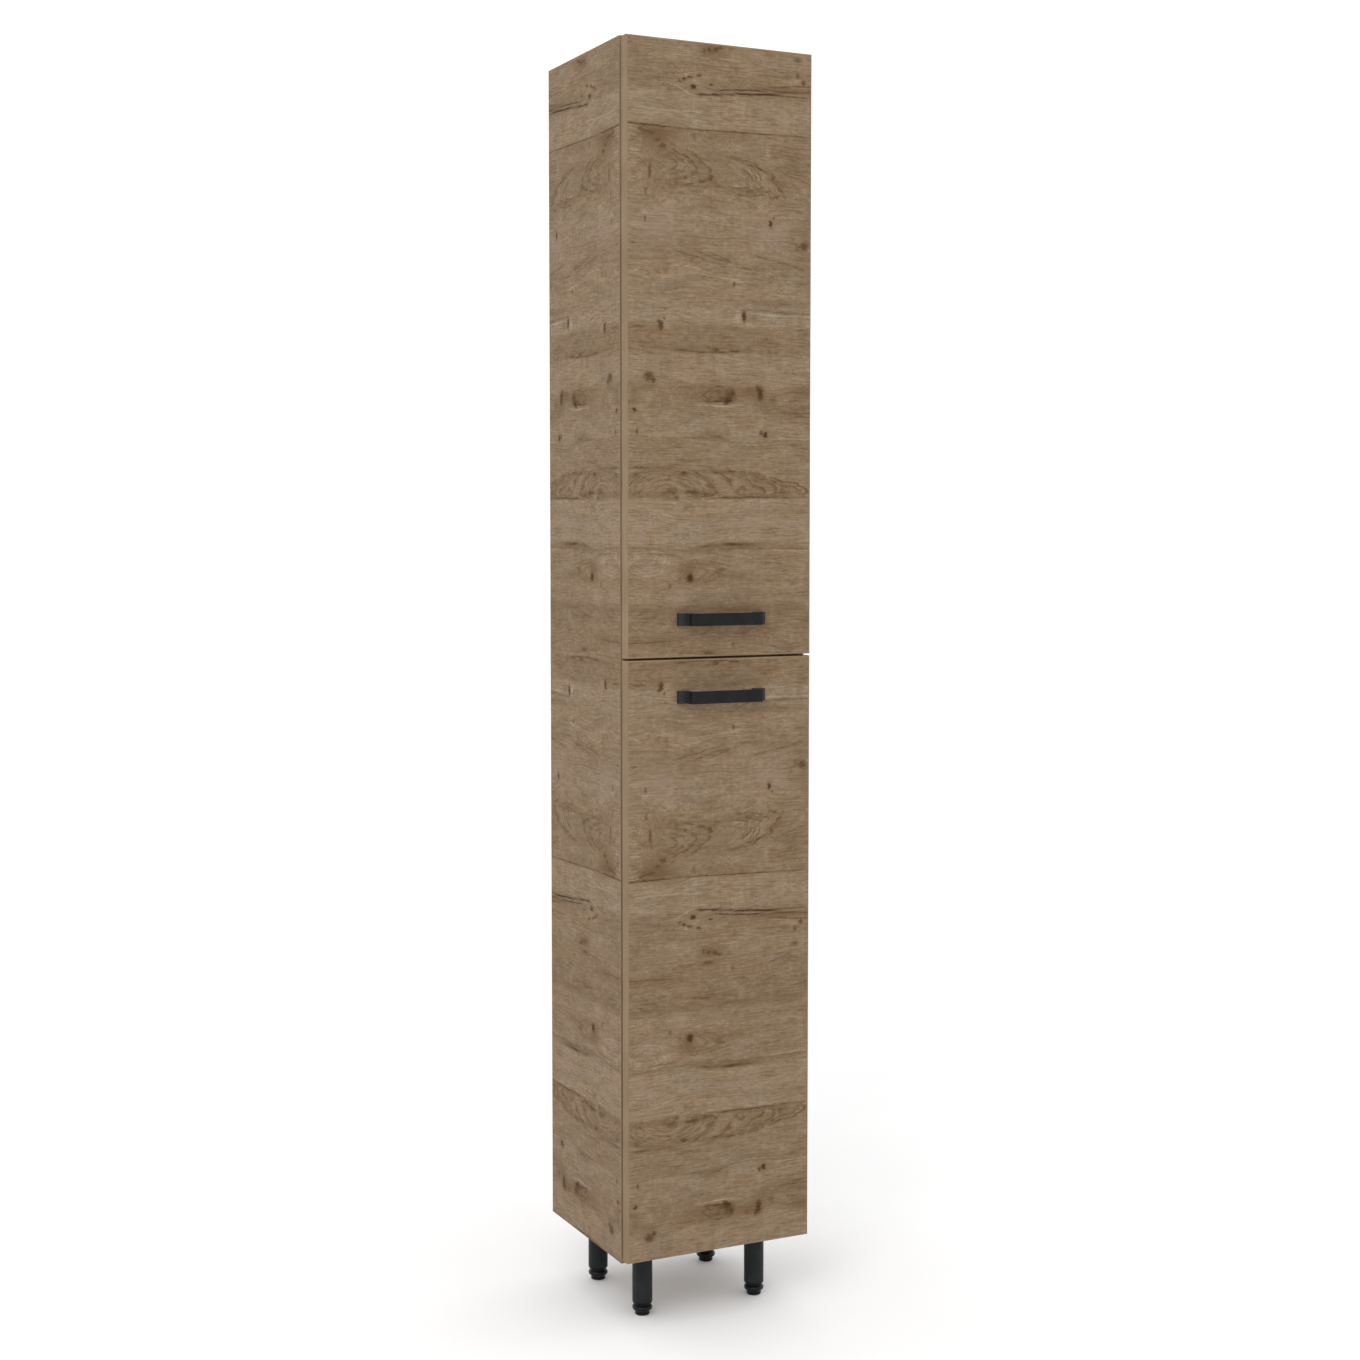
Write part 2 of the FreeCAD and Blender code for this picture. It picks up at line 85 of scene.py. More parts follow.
def vecCalc(tree, operation, *values):
    made = addNode(tree, "ShaderNodeVectorMath", operation=operation)
    for socket, value in zip(made.inputs, values):
        feed(tree, socket, value)
    return made.outputs["Value" if operation in ("DOT_PRODUCT", "LENGTH") else "Vector"]


def ease(tree, value, low, high):  # 0 below low, 1 above high, smooth between
    made = addNode(tree, "ShaderNodeMapRange", interpolation_type="SMOOTHSTEP")
    for name, part in (("Value", value), ("From Min", low), ("From Max", high)):
        feed(tree, made.inputs[name], part)
    return made.outputs[0]


# noise with blobs of these sizes, on a flat print or through the whole piece
def cloud(tree, point, sizes, detail=2.0, rough=0.5, kind="2D", colour=False):
    made = addNode(tree, "ShaderNodeTexNoise", noise_dimensions=kind)
    inverse = tuple(1 / size for size in sizes)
    feed(tree, made.inputs["Vector"], vecCalc(tree, "MULTIPLY", point, inverse))
    made.inputs["Scale"].default_value = 1.0
    made.inputs["Detail"].default_value = detail
    made.inputs["Roughness"].default_value = rough
    return made.outputs["Color" if colour else "Fac"]


def solidCloud(tree, point, noise):  # noise holds sizes, detail and roughness
    return cloud(tree, point, *noise, kind="3D")


def swing(tree, noiseValue, amount, onto=0.0):  # noise centred on zero, scaled and added
    return calc(tree, "MULTIPLY_ADD", calc(tree, "SUBTRACT", noiseValue, 0.5), amount, onto)


def tint(tree, amount, first, second):
    made = addNode(tree, "ShaderNodeMix", data_type="RGBA")
    feed(tree, made.inputs["Factor"], amount)
    feed(tree, made.inputs[6], first)
    feed(tree, made.inputs[7], second)
    return made.outputs[2]


def linear(red, green, blue):  # screen colour 0 to 255 as a shader colour
    parts = [part / 255 for part in (red, green, blue)]
    parts = [part / 12.92 if part <= 0.04045 else ((part + 0.055) / 1.055) ** 2.4 for part in parts]
    return (*parts, 1.0)


def grey(level):
    return (level, level, level, 1.0)


def tones(stops):  # screen colours for a ramp
    return [(place, linear(*colour)) for place, colour in stops]


def ramp(tree, value, stops):
    made = addNode(tree, "ShaderNodeValToRGB")
    elements = made.color_ramp.elements
    while len(elements) < len(stops):
        elements.new(0.5)
    for element, (place, colour) in zip(elements, stops):
        element.position = place
        element.color = colour
    feed(tree, made.inputs[0], value)
    return made.outputs["Color"]


def bentLine(tree, value, points):  # smooth curve through given points, both ways from 0 to 1
    made = addNode(tree, "ShaderNodeFloatCurve")
    curve = made.mapping.curves[0]
    while len(curve.points) < len(points):
        curve.points.new(0.5, 0.5)
    for point, place in zip(curve.points, points):
        point.location = place
    made.mapping.update()
    feed(tree, made.inputs["Value"], value)
    return made.outputs[0]


def newGroup(name, inputs, outputs):
    tree = bpy.data.node_groups.new(name, "ShaderNodeTree")
    for label, kind in inputs:
        tree.interface.new_socket(label, in_out="INPUT", socket_type="NodeSocket" + kind)
    for label, kind in outputs:
        tree.interface.new_socket(label, in_out="OUTPUT", socket_type="NodeSocket" + kind)
    return tree, addNode(tree, "NodeGroupInput").outputs, addNode(tree, "NodeGroupOutput").inputs


def newMaterial(name, **shader):  # what is the same all over goes straight on the shader's sockets
    made = bpy.data.materials.new(name)
    made.use_nodes = True
    tree = made.node_tree
    surface = tree.nodes["Principled BSDF"]
    for label, value in shader.items():
        surface.inputs[label.replace("_", " ")].default_value = value
    place = addNode(tree, "ShaderNodeTexCoord")
    inMillimetres = vecCalc(tree, "MULTIPLY", place.outputs["Object"], (1000.0, 1000.0, 1000.0))
    return made, tree, surface, inMillimetres, place.outputs["Normal"]


def apart(tree, vector):  # the three parts of a vector
    made = addNode(tree, "ShaderNodeSeparateXYZ")
    feed(tree, made.inputs[0], vector)
    return made.outputs


def together(tree, x=0.0, y=0.0, z=0.0):
    made = addNode(tree, "ShaderNodeCombineXYZ")
    for socket, value in zip(made.inputs, (x, y, z)):
        feed(tree, socket, value)
    return made.outputs[0]


squareOn = 0.7  # a face whose normal goes this far along an axis looks that way


def facing(tree, normal, axis):  # 1 where the surface looks along this axis, either way
    return calc(tree, "GREATER_THAN", calc(tree, "ABSOLUTE", apart(tree, normal)[axis]), squareOn)


def relief(tree, surface, height, depth):  # depth in millimetres
    made = addNode(tree, "ShaderNodeBump")
    made.inputs["Strength"].default_value = 1.0
    made.inputs["Distance"].default_value = depth / 1000
    feed(tree, made.inputs["Height"], height)
    tree.links.new(made.outputs["Normal"], surface.inputs["Normal"])


def finish(tree, surface, colour, roughness, height, depth):
    feed(tree, surface.inputs["Base Color"], colour)
    feed(tree, surface.inputs["Roughness"], roughness)
    relief(tree, surface, height, depth)


# Oak print: u runs along the grain and w down across it, both in millimetres from the top left of a door

oakPrint = {
    "tile": 875.0,  # height of the print, as high as a door
    "width": 300.0,  # reach of the long lines
    "waver": 5.0,
    "waverSize": (150, 40),
    # rings: noise that curls them as size and reach, how they sway, where they show, how they start and fade
    "ringCurls": [((17, 9), (12.0, 5.0)), ((5, 4), (4.5, 3.5))],
    "ringSway": 0.35,
    "ringSwaySize": (40, 20),
    "ringPatches": ((26, 11), 2.0, 0.26, 0.52),
    "ringStart": 24,
    "ringFade": 2.0,
    "rimEdge": 2.0,
    "ringLift": 0.5,  # share of a figure's height by which the grain bends round it
    # noise that frays marks and long lines as size and reach, breaks in the lines, halos of strong marks
    "markFray": ((3.5, 3), (7.0, 5.0)),
    "lineFray": ((15, 3), (9.0, 2.6)),
    "frayNoise": (2.0, 0.6),
    "lineBreaks": (20, 4),
    "lineSpan": 60.0,  # no line wanders further than this
    "haloFrom": 0.7,
    "haloSize": 1.8,
    "haloWeight": 0.35,
    # grain: length and height of its blobs, detail, roughness, strength
    "layers": {
        "broad": (260, 26, 2.0, 0.5, 0.10),
        "blotch": (40, 14, 3.0, 0.55, 0.25),
        "cross": (11, 45, 3.0, 0.6, 0.24),
        "speckle": (10, 6, 3.0, 0.75, 0.32),
        "dash": (9, 2.4, 2.0, 0.6, 0.24),
        "streak": (80, 2.8, 4.0, 0.66, 0.22),
        "fibre": (24, 1.4, 2.0, 0.6, 0.32),
    },
    # where a detail shows: size of its blobs, noise detail, nothing below, all above
    "growthPatches": ((60, 22), 2.0, 0.42, 0.62),
    "crossPatches": ((70, 60), 1.0, 0.45, 0.65),
    "fleckPatches": ((44, 30), 1.0, 0.48, 0.66),
    "flecks": ((2.6, 4.5), 1.0, 0.55, 0.68),
    "hairs": ((36, 1.8), 1.0, 0.57, 0.66),
    "pores": ((9, 0.7), 1.0, 0.60, 0.74),
    "growthSpacing": 6.5,
    "growthWidth": 0.24,
    "growthSway": 26.0,
    "growthSwaySize": (110, 26),
    # how much lighter or darker a detail is, and how much the grain breaks it up round which weight
    "growthTone": -0.13,
    "hairTone": -0.08,
    "poreTone": -0.06,
    "fleckTone": 0.10,
    "poreHeight": -0.6,
    "ringGrain": (2.0, 1.0),
    "ashGrain": (2.4, 0.9),
    "smudgeGrain": (1.8, 0.95),
    "markGrain": (1.2, 1.1),
    "lineGrain": (2.4, 0.95),
    "mostAsh": 0.75,
    "mostSmudge": 0.9,
    "mostDark": 0.95,
    "warmthSize": (70, 28),
    "warmth": [(0.3, (0.98, 1.0, 1.02, 1.0)), (0.7, (1.025, 0.995, 0.965, 1.0))],
    # plank tone: w, then screen levels lighter or darker than the middle tone
    "planks": [
        (0, 0), (48, -1), (68, -4), (76, 7), (120, 6), (122, -4), (205, -3), (245, 5),
        (280, 2), (300, -1), (345, 3), (396, 5), (403, -5), (436, -6), (438, 5), (480, 5),
        (486, -6), (514, -4), (538, 4), (557, 4), (561, -2), (600, 0), (645, -1), (648, 5),
        (708, 7), (720, -4), (735, 0), (795, 0), (806, -6), (875, -5),
    ],
    # tones in screen levels: the middle, how its red, green and blue move with a level, and the marks
    "middle": (139, 118, 95),
    "levelSteps": (0.93, 1.0, 1.05),
    "levelSpan": 100.0,  # levels between the darkest and the lightest tone
    "toneStops": 7,
    "darkMark": (70, 46, 24),
    "smudge": (112, 86, 60),
    "ashPatch": (152, 130, 113),
    # slow bends of the grain: u, w, half width, half height, push
    "bends": [
        (135, 300, 60, 22, 9), (60, 322, 45, 18, -6), (235, 303, 60, 22, 8), (100, 682, 60, 24, -9),
        (215, 180, 80, 40, 10), (40, 508, 40, 12, 5), (150, 500, 40, 14, 6), (105, 752, 40, 16, 8),
        (112, 66, 40, 12, 7), (265, 860, 45, 16, -6), (20, 715, 60, 14, 4),
    ],
    # nested rings round a centre: each is dark at its rim, fades inwards over the shadow, starts at first u
    "figures": [
        {"centre": (58, 172), "right": 195, "left": 34, "above": 68, "below": 68, "tilt": 0.14,
         "rounding": 1.5, "nose": 1.8, "first": 56, "shadow": 8, "weight": 0.25,
         "rings": (0.11, 0.18, 0.27, 0.385)},
        {"centre": (58, 172), "right": 195, "left": 34, "above": 42, "below": 33, "tilt": 0.14,
         "rounding": 1.5, "nose": 2.4, "first": 150, "shadow": 6, "weight": 0.27,
         "rings": (0.72, 0.80, 0.87, 0.97)},
        {"centre": (170, 178), "right": 58, "left": 30, "above": 16, "below": 30, "tilt": 0.25,
         "rounding": 1.4, "nose": 2.0, "first": 152, "shadow": 4, "weight": -0.16,
         "rings": (0.6, 0.8, 1.0)},
        {"centre": (62, 636), "right": 78, "left": 64, "above": 33, "below": 12, "tilt": 0.0,
         "rounding": 1.7, "nose": 2.0, "first": -99, "shadow": 4, "weight": 0.16,
         "rings": (0.22, 0.42, 0.60, 0.76, 0.90, 1.04)},
        {"centre": (30, 731), "right": 36, "left": 30, "above": 8, "below": 27, "tilt": 0.0,
         "rounding": 2.0, "nose": 2.0, "first": -99, "shadow": 3, "weight": -0.18,
         "rings": (0.40, 0.62, 0.82, 1.0)},
        {"centre": (160, 497), "right": 16, "left": 46, "above": 14, "below": 11, "tilt": 0.0,
         "rounding": 2.0, "nose": 2.0, "first": -99, "shadow": 4, "weight": 0.22,
         "rings": (0.35, 0.60, 0.85)},
        {"centre": (286, 279), "right": 15, "left": 14, "above": 13, "below": 11, "tilt": 0.0,
         "rounding": 2.0, "nose": 2.0, "first": -99, "shadow": 4, "weight": 0.18,
         "rings": (0.7, 1.0)},
        {"centre": (104, 756), "right": 60, "left": 22, "above": 22, "below": 16, "tilt": -0.1,
         "rounding": 1.3, "nose": 1.8, "first": -99, "shadow": 4, "weight": 0.15,
         "rings": (0.40, 0.65, 1.0)},
        {"centre": (9, 142), "right": 16, "left": 16, "above": 17, "below": 17, "tilt": 0.2,
         "rounding": 2.0, "nose": 2.0, "first": -99, "shadow": 3, "weight": -0.18,
         "rings": (0.30, 0.55, 0.80, 1.0)},
        {"centre": (10, 186), "right": 15, "left": 15, "above": 14, "below": 19, "tilt": 0.0,
         "rounding": 2.0, "nose": 2.0, "first": -99, "shadow": 3, "weight": -0.17,
         "rings": (0.35, 0.60, 0.85)},
    ],
    # a fan of pointed rings whose arms all run together along its top and bottom, where they fade out
    "fan": {"centre": (58, 638), "right": 240, "above": 36, "below": 9, "bend": 3.0, "point": 1.25,
            "leastRoom": 0.02, "fadeRoom": (0.04, 0.2), "first": 100, "shadow": 8, "weight": 0.25,
            "rings": (0.34, 0.54, 0.65, 0.76, 0.86, 0.97)},
    # knots, slits and dots: u, w, half width, half height, weight
    "marks": [
        (90, 53, 4, 2, 0.7), (99, 50, 4, 2.4, 0.6), (114, 47, 4, 2, 0.7), (105, 63, 5, 3.4, 0.95),
        (133, 58, 3.4, 2, 0.7), (83, 57, 4, 1.6, 0.5), (274, 33, 3, 4, 0.45), (284, 43, 3.4, 4.6, 0.6),
        (122, 12, 2.5, 5, 0.45), (130, 9, 3, 4, 0.5), (141, 8, 4, 3, 0.5), (147, 5, 5, 2, 0.4),
        (274, 11, 7, 3, 0.5), (57, 150, 6, 4.4, 0.5), (36, 187, 3, 9, 0.5), (107, 134, 2.4, 8, 0.3),
        (30, 131, 9, 3, 0.3), (22, 128, 4, 2.4, 0.4), (40, 133, 5, 2.2, 0.35), (48, 142, 5, 2.4, 0.35),
        (30, 214, 2.8, 5, 0.45), (29, 254, 1.8, 5, 0.55),
        (230, 248, 2.8, 5.5, 0.85), (235, 240, 1.8, 3, 0.5), (286, 278, 7, 7, 0.62), (11, 288, 5, 1.6, 0.45),
        (171, 337, 1.8, 4.4, 0.6), (187, 384, 3.2, 8, 0.85), (54, 402, 4, 7, 0.7), (50, 396, 3, 3, 0.5),
        (59, 391, 2.2, 3, 0.5), (61, 378, 4, 1.5, 0.45), (142, 433, 6, 3, 0.55), (172, 434, 8, 2.2, 0.5),
        (85, 435, 10, 2, 0.35), (34, 474, 7, 6.5, 0.6), (42, 480, 4, 3.4, 0.6), (163, 499, 7, 9, 0.55),
        (169, 492, 3, 6, 0.4), (152, 502, 5, 3, 0.35), (146, 492, 4, 2.4, 0.3),
        (158, 509, 5, 3, 0.6), (214, 495, 4.4, 10, 0.75), (209, 486, 3.4, 5, 0.5), (12, 522, 3, 3, 0.95),
        (16, 552, 2, 4, 0.65), (119, 527, 4.4, 1.8, 0.4), (215, 551, 2.8, 3.6, 0.7), (222, 554, 4, 4.4, 0.95),
        (90, 612, 6, 3, 0.6), (70, 636, 10, 5, 0.45), (78, 645, 4, 2.4, 0.5), (104, 637, 11, 3, 0.6),
        (125, 640, 6, 2.2, 0.45), (147, 641, 5, 1.6, 0.4), (20, 604, 13, 2.2, 0.4), (100, 761, 6, 6, 0.85),
        (152, 750, 7, 2.6, 0.4), (68, 773, 2.4, 5, 0.4), (170, 858, 3.4, 4.4, 0.4), (130, 870, 9, 3, 0.4),
    ],
    "smudges": [
        (132, 11, 16, 9, 0.9), (148, 6, 9, 4, 0.5), (45, 55, 24, 3, 0.5), (46, 138, 24, 13, 0.8),
        (62, 129, 26, 5, 0.4), (26, 130, 16, 7, 0.35),
        (54, 160, 14, 6, 0.5), (250, 56, 55, 5, 0.6), (286, 262, 16, 26, 0.4), (52, 408, 12, 10, 0.5),
        (85, 432, 60, 6, 0.45), (170, 402, 20, 3, 0.6), (34, 475, 13, 10, 0.6), (60, 476, 10, 4, 0.4),
        (145, 494, 45, 12, 0.5), (205, 492, 22, 10, 0.5), (286, 490, 20, 7, 0.75), (11, 498, 5, 7, 0.5),
        (258, 523, 40, 9, 0.45), (256, 636, 16, 4, 0.65), (190, 634, 18, 5, 0.35), (205, 626, 16, 5, 0.3),
        (55, 604, 45, 4, 0.5), (97, 750, 10, 13, 0.55),
        (185, 714, 60, 5, 0.6), (150, 806, 150, 5, 0.4), (40, 850, 40, 5, 0.45), (240, 362, 60, 5, 0.5),
        (115, 173, 14, 9, 0.35), (246, 190, 12, 8, 0.35), (92, 612, 14, 5, 0.4), (118, 638, 28, 4, 0.4),
        (130, 868, 16, 6, 0.4), (280, 300, 18, 8, 0.35), (110, 303, 40, 9, 0.3), (170, 758, 50, 8, 0.3),
    ],
    "paleMarks": [
        (178, 385, 5, 7, 0.16), (61, 400, 6, 9, 0.14), (278, 267, 6, 4, 0.24), (297, 284, 4, 7, 0.16),
        (150, 513, 24, 2.5, 0.11), (110, 55, 10, 4, 0.14), (38, 503, 14, 6, 0.12), (175, 333, 12, 6, 0.12),
        (60, 742, 10, 10, 0.12), (232, 487, 10, 8, 0.12), (24, 486, 10, 3, 0.10), (215, 387, 60, 6, 0.06),
        (182, 166, 12, 4, 0.12), (226, 145, 4, 16, 0.10), (28, 246, 5, 4, 0.12), (70, 255, 4, 16, 0.10),
        (160, 855, 12, 6, 0.10), (276, 20, 20, 12, 0.06), (80, 20, 18, 14, 0.07), (200, 22, 30, 12, 0.05),
        (215, 537, 6, 6, 0.12), (270, 40, 6, 6, 0.12), (85, 788, 14, 14, 0.08), (150, 455, 8, 14, 0.06),
    ],
    "ashPatches": [
        (52, 262, 24, 18, 0.6), (230, 262, 24, 18, 0.6), (22, 695, 9, 16, 0.6), (190, 686, 24, 14, 0.45),
        (20, 262, 20, 6, 0.5), (30, 745, 30, 14, 0.4), (85, 788, 14, 14, 0.3), (278, 268, 6, 4, 0.6),
    ],
    # cracks, plank joints and long dark lines: path, half thickness, weight, first u, last u, fade
    "lines": [
        ([(60, 62), (92, 71), (112, 73), (150, 70.5), (200, 67), (235, 64.5), (262, 65), (298, 69)],
         1.5, 1.0, 92, 272, 40),
        ([(110, 72), (150, 65), (185, 62), (200, 61), (240, 61.5)], 1.2, 0.8, 128, 235, 30),
        ([(150, 60), (200, 57), (250, 59), (298, 57)], 1.7, 0.55, 190, 330, 60),
        ([(220, 54), (260, 50), (298, 47)], 1.3, 0.45, 215, 330, 40),
        ([(200, 66), (250, 66), (298, 64)], 1.2, 0.45, 225, 330, 30),
        ([(0, 122), (60, 122.5), (100, 123), (150, 122.5), (220, 121), (298, 119.5)], 1.2, 0.5, -60, 340, 60),
        ([(60, 205), (110, 203), (195, 202.5), (240, 206)], 1.1, 0.35, 60, 215, 40),
        ([(40, 197), (70, 197), (110, 199), (130, 192)], 1.0, 0.3, 38, 125, 15),
        ([(150, 373), (200, 374), (298, 376)], 1.8, 0.4, 160, 340, 50),
        ([(60, 436), (130, 437), (190, 435)], 1.8, 0.5, 70, 195, 25),
        ([(108, 503), (130, 507), (168, 506), (185, 509)], 1.6, 0.65, 112, 180, 16),
        ([(230, 520), (260, 522), (298, 521)], 1.2, 0.45, 235, 330, 30),
        ([(250, 528), (298, 526)], 1.1, 0.35, 255, 330, 25),
        ([(80, 560), (125, 559), (165, 558)], 1.8, 0.5, 85, 165, 25),
        ([(0, 645), (150, 646), (298, 644)], 1.6, 0.4, 110, 340, 60),
        ([(0, 726), (45, 727), (82, 729)], 1.1, 0.35, -40, 88, 20),
        ([(80, 729), (105, 721), (140, 714), (190, 713), (240, 715)], 2.6, 0.50, 84, 230, 45),
        ([(130, 719), (200, 719), (298, 720)], 1.0, 0.35, 135, 340, 40),
        ([(60, 291), (80, 297), (110, 303), (145, 311), (170, 309)], 1.1, 0.42, 66, 168, 25),
        ([(95, 291), (120, 298), (150, 306), (175, 308)], 1.1, 0.40, 98, 174, 18),
        ([(125, 292), (150, 302), (170, 308)], 1.1, 0.40, 126, 172, 12),
        ([(180, 290), (215, 298), (250, 306), (298, 316)], 1.2, 0.36, 185, 300, 30),
        ([(190, 150), (230, 162), (260, 178), (298, 188)], 1.1, 0.3, 205, 330, 25),
        ([(200, 165), (222, 177), (245, 190), (256, 204)], 1.2, 0.35, 200, 256, 12),
        ([(240, 160), (270, 169), (298, 172)], 1.0, 0.25, 240, 330, 20),
        ([(0, 853), (40, 852), (90, 847)], 1.2, 0.35, -30, 80, 30),
        ([(225, 858), (250, 866), (270, 873)], 1.2, 0.35, 225, 272, 12),
        ([(140, 785), (200, 786), (298, 783)], 1.0, 0.25, 150, 330, 40),
    ],
    # pale seams in the grain, with the same values
    "paleLines": [
        ([(60, 60), (80, 64), (92, 70), (110, 76)], 1.2, 0.22, 70, 112, 8),
        ([(40, 325), (90, 317), (120, 322), (160, 331), (200, 330)], 1.0, 0.16, 50, 190, 30),
        ([(60, 333), (110, 327), (150, 335)], 0.9, 0.13, 60, 160, 25),
        ([(0, 262), (20, 264), (30, 258)], 1.0, 0.22, -10, 30, 8),
        ([(10, 98), (60, 99), (110, 97)], 1.1, 0.14, 10, 105, 20),
        ([(100, 511), (130, 513), (170, 512), (200, 508)], 1.2, 0.12, 110, 190, 20),
        ([(150, 377), (200, 379), (298, 381)], 1.5, 0.14, 165, 330, 40),
        ([(220, 560), (298, 558)], 0.9, 0.16, 225, 330, 30),
        ([(140, 722), (298, 723)], 1.0, 0.13, 150, 330, 40),
        ([(0, 333), (14, 327), (24, 318)], 1.0, 0.15, 0, 24, 6),
    ],
}


def spots(tree, point, marks, total=0.0, firm=False):  # ellipses added up, with soft or firm edges
    for u, w, halfWidth, halfHeight, weight in marks:
        shrink = (1 / halfWidth, 1 / halfHeight, 0.0)
        shift = (-u / halfWidth, -w / halfHeight, 0.0)
        away = vecCalc(tree, "MULTIPLY_ADD", point, shrink, shift)
        away = vecCalc(tree, "DOT_PRODUCT", away, away)
        if firm:
            away = calc(tree, "MULTIPLY", away, away)
        total = calc(tree, "MULTIPLY_ADD", calc(tree, "POWER", 1 / math.e, away), weight, total)
    return total


def stretched(tree, value, plus, minus):  # 1 at plus on one side of zero and at minus on the other
    return calc(tree, "MAXIMUM", calc(tree, "DIVIDE", value, plus), calc(tree, "DIVIDE", value, -minus))


def ringShape(tree, point, figure):  # 0 at the centre, 1 at the rim, and its growth for each millimetre
    along, down, _ = apart(tree, vecCalc(tree, "SUBTRACT", point, (*figure["centre"], 0.0)))
    down = calc(tree, "MULTIPLY_ADD", along, -figure["tilt"], down)
    x = calc(tree, "POWER", stretched(tree, along, figure["right"], figure["left"]), figure["rounding"])
    y = calc(tree, "POWER", stretched(tree, down, figure["below"], figure["above"]), figure["nose"])
    steepX = calc(tree, "MULTIPLY", calc(tree, "DIVIDE", x, along), figure["rounding"])
    steepY = calc(tree, "MULTIPLY", calc(tree, "DIVIDE", y, down), figure["nose"])
    steep = vecCalc(tree, "LENGTH", together(tree, steepX, steepY))
    return calc(tree, "ADD", x, y), steep


def fanShape(tree, point, fan):  # the same, and where the fan has room
    along, down, _ = apart(tree, vecCalc(tree, "SUBTRACT", point, (*fan["centre"], 0.0)))
    x = calc(tree, "MAXIMUM", calc(tree, "DIVIDE", along, fan["right"]), 0.001)
    y = stretched(tree, down, fan["below"], fan["above"])
    room = calc(tree, "SUBTRACT", 1.0, calc(tree, "POWER", y, fan["point"]))
    room = calc(tree, "MAXIMUM", room, fan["leastRoom"])
    radius = calc(tree, "DIVIDE", x, calc(tree, "POWER", room, 1 / fan["bend"]))
    steepX = calc(tree, "DIVIDE", radius, along)
    steepY = calc(tree, "MULTIPLY", radius, fan["point"] / fan["bend"] / fan["above"])
    steep = vecCalc(tree, "LENGTH", together(tree, steepX, calc(tree, "DIVIDE", steepY, room)))
    return radius, steep, ease(tree, room, *fan["fadeRoom"])


def ringLines(tree, u, shape, figure, waver, patchy, total):
    radius, steep = shape[:2]
    swayed = calc(tree, "MULTIPLY", radius, waver)
    lines = 0.0
    for ring in figure["rings"]:
        off = calc(tree, "SUBTRACT", swayed, ring ** figure.get("rounding", 1.0))
        off = calc(tree, "DIVIDE", off, steep)
        inner = calc(tree, "POWER", ease(tree, off, -figure["shadow"], 0.0), oakPrint["ringFade"])
        rim = ease(tree, off, oakPrint["rimEdge"], 0.0)
        lines = calc(tree, "MAXIMUM", calc(tree, "MULTIPLY", inner, rim), lines)
    lines = calc(tree, "MULTIPLY", lines, patchy)
    start = ease(tree, u, figure["first"], figure["first"] + oakPrint["ringStart"])
    lines = calc(tree, "MULTIPLY", lines, start)
    return calc(tree, "MULTIPLY_ADD", lines, figure["weight"], total)


def longLine(tree, u, w, line, total):
    path, half, weight, first, last, fade = line
    middle = (min(p[1] for p in path) + max(p[1] for p in path)) / 2
    span = oakPrint["lineSpan"]
    width = oakPrint["width"]
    points = [(pu / width, (pw - middle) / span + 0.5) for pu, pw in path]
    course = bentLine(tree, calc(tree, "DIVIDE", u, width), points)
    off = calc(tree, "SUBTRACT", w, calc(tree, "MULTIPLY_ADD", course, span, middle - span / 2))
    off = calc(tree, "POWER", calc(tree, "ABSOLUTE", calc(tree, "DIVIDE", off, half)), 2.0)
    body = calc(tree, "POWER", 1 / math.e, off)
    body = calc(tree, "MULTIPLY", body, ease(tree, u, first, first + fade))
    body = calc(tree, "MULTIPLY", body, ease(tree, u, last, last - fade))
    return calc(tree, "MULTIPLY_ADD", body, weight, total)


def shade(levels):  # the middle tone so many screen levels lighter or darker, the dark end warmer
    middle, steps = oakPrint["middle"], oakPrint["levelSteps"]
    return linear(*[part + levels * step for part, step in zip(middle, steps)])


def flat(sizes):  # two sizes as a point's three
    return (*sizes, 1)


def shaken(tree, point, fray):  # the point pushed about by noise
    sizes, reach = fray
    push = cloud(tree, point, flat(sizes), *oakPrint["frayNoise"], colour=True)
    push = vecCalc(tree, "SUBTRACT", push, (0.5, 0.5, 0.5))
    return vecCalc(tree, "MULTIPLY_ADD", push, (*reach, 0.0), point)


def patches(tree, point, kind):
    sizes, detail, low, high = oakPrint[kind]
    return ease(tree, cloud(tree, point, flat(sizes), detail), low, high)


def brokenUp(tree, value, grain, kind):
    amount, weight = oakPrint[kind]
    return calc(tree, "MULTIPLY", value, swing(tree, grain, amount, weight))


def makeOakRings():  # the nested rings, and the height of the grain that flows round them
    look = oakPrint
    kinds = ("Rings", "Flow")
    tree, given, result = newGroup("oak rings", [("Place", "Vector")], [(kind, "Float") for kind in kinds])
    place = given["Place"]
    curly = place
    for curl in look["ringCurls"]:
        curly = shaken(tree, curly, curl)
    u, w, _ = apart(tree, place)
    waver = swing(tree, cloud(tree, place, flat(look["ringSwaySize"])), look["ringSway"], 1.0)
    patchy = patches(tree, place, "ringPatches")
    flow = spots(tree, place, look["bends"], w)
    rings = 0.0
    for figure in look["figures"]:
        shape = ringShape(tree, curly, figure)
        rings = ringLines(tree, u, shape, figure, waver, patchy, rings)
        lift = calc(tree, "MAXIMUM", calc(tree, "SUBTRACT", 1.0, shape[0]), 0.0)
        flow = calc(tree, "MULTIPLY_ADD", lift, figure["above"] * look["ringLift"], flow)
    shape = fanShape(tree, curly, look["fan"])
    patchy = calc(tree, "MULTIPLY", patchy, shape[2])
    rings = ringLines(tree, u, shape, look["fan"], waver, patchy, rings)
    feed(tree, result["Rings"], rings)
    feed(tree, result["Flow"], flow)
    return tree


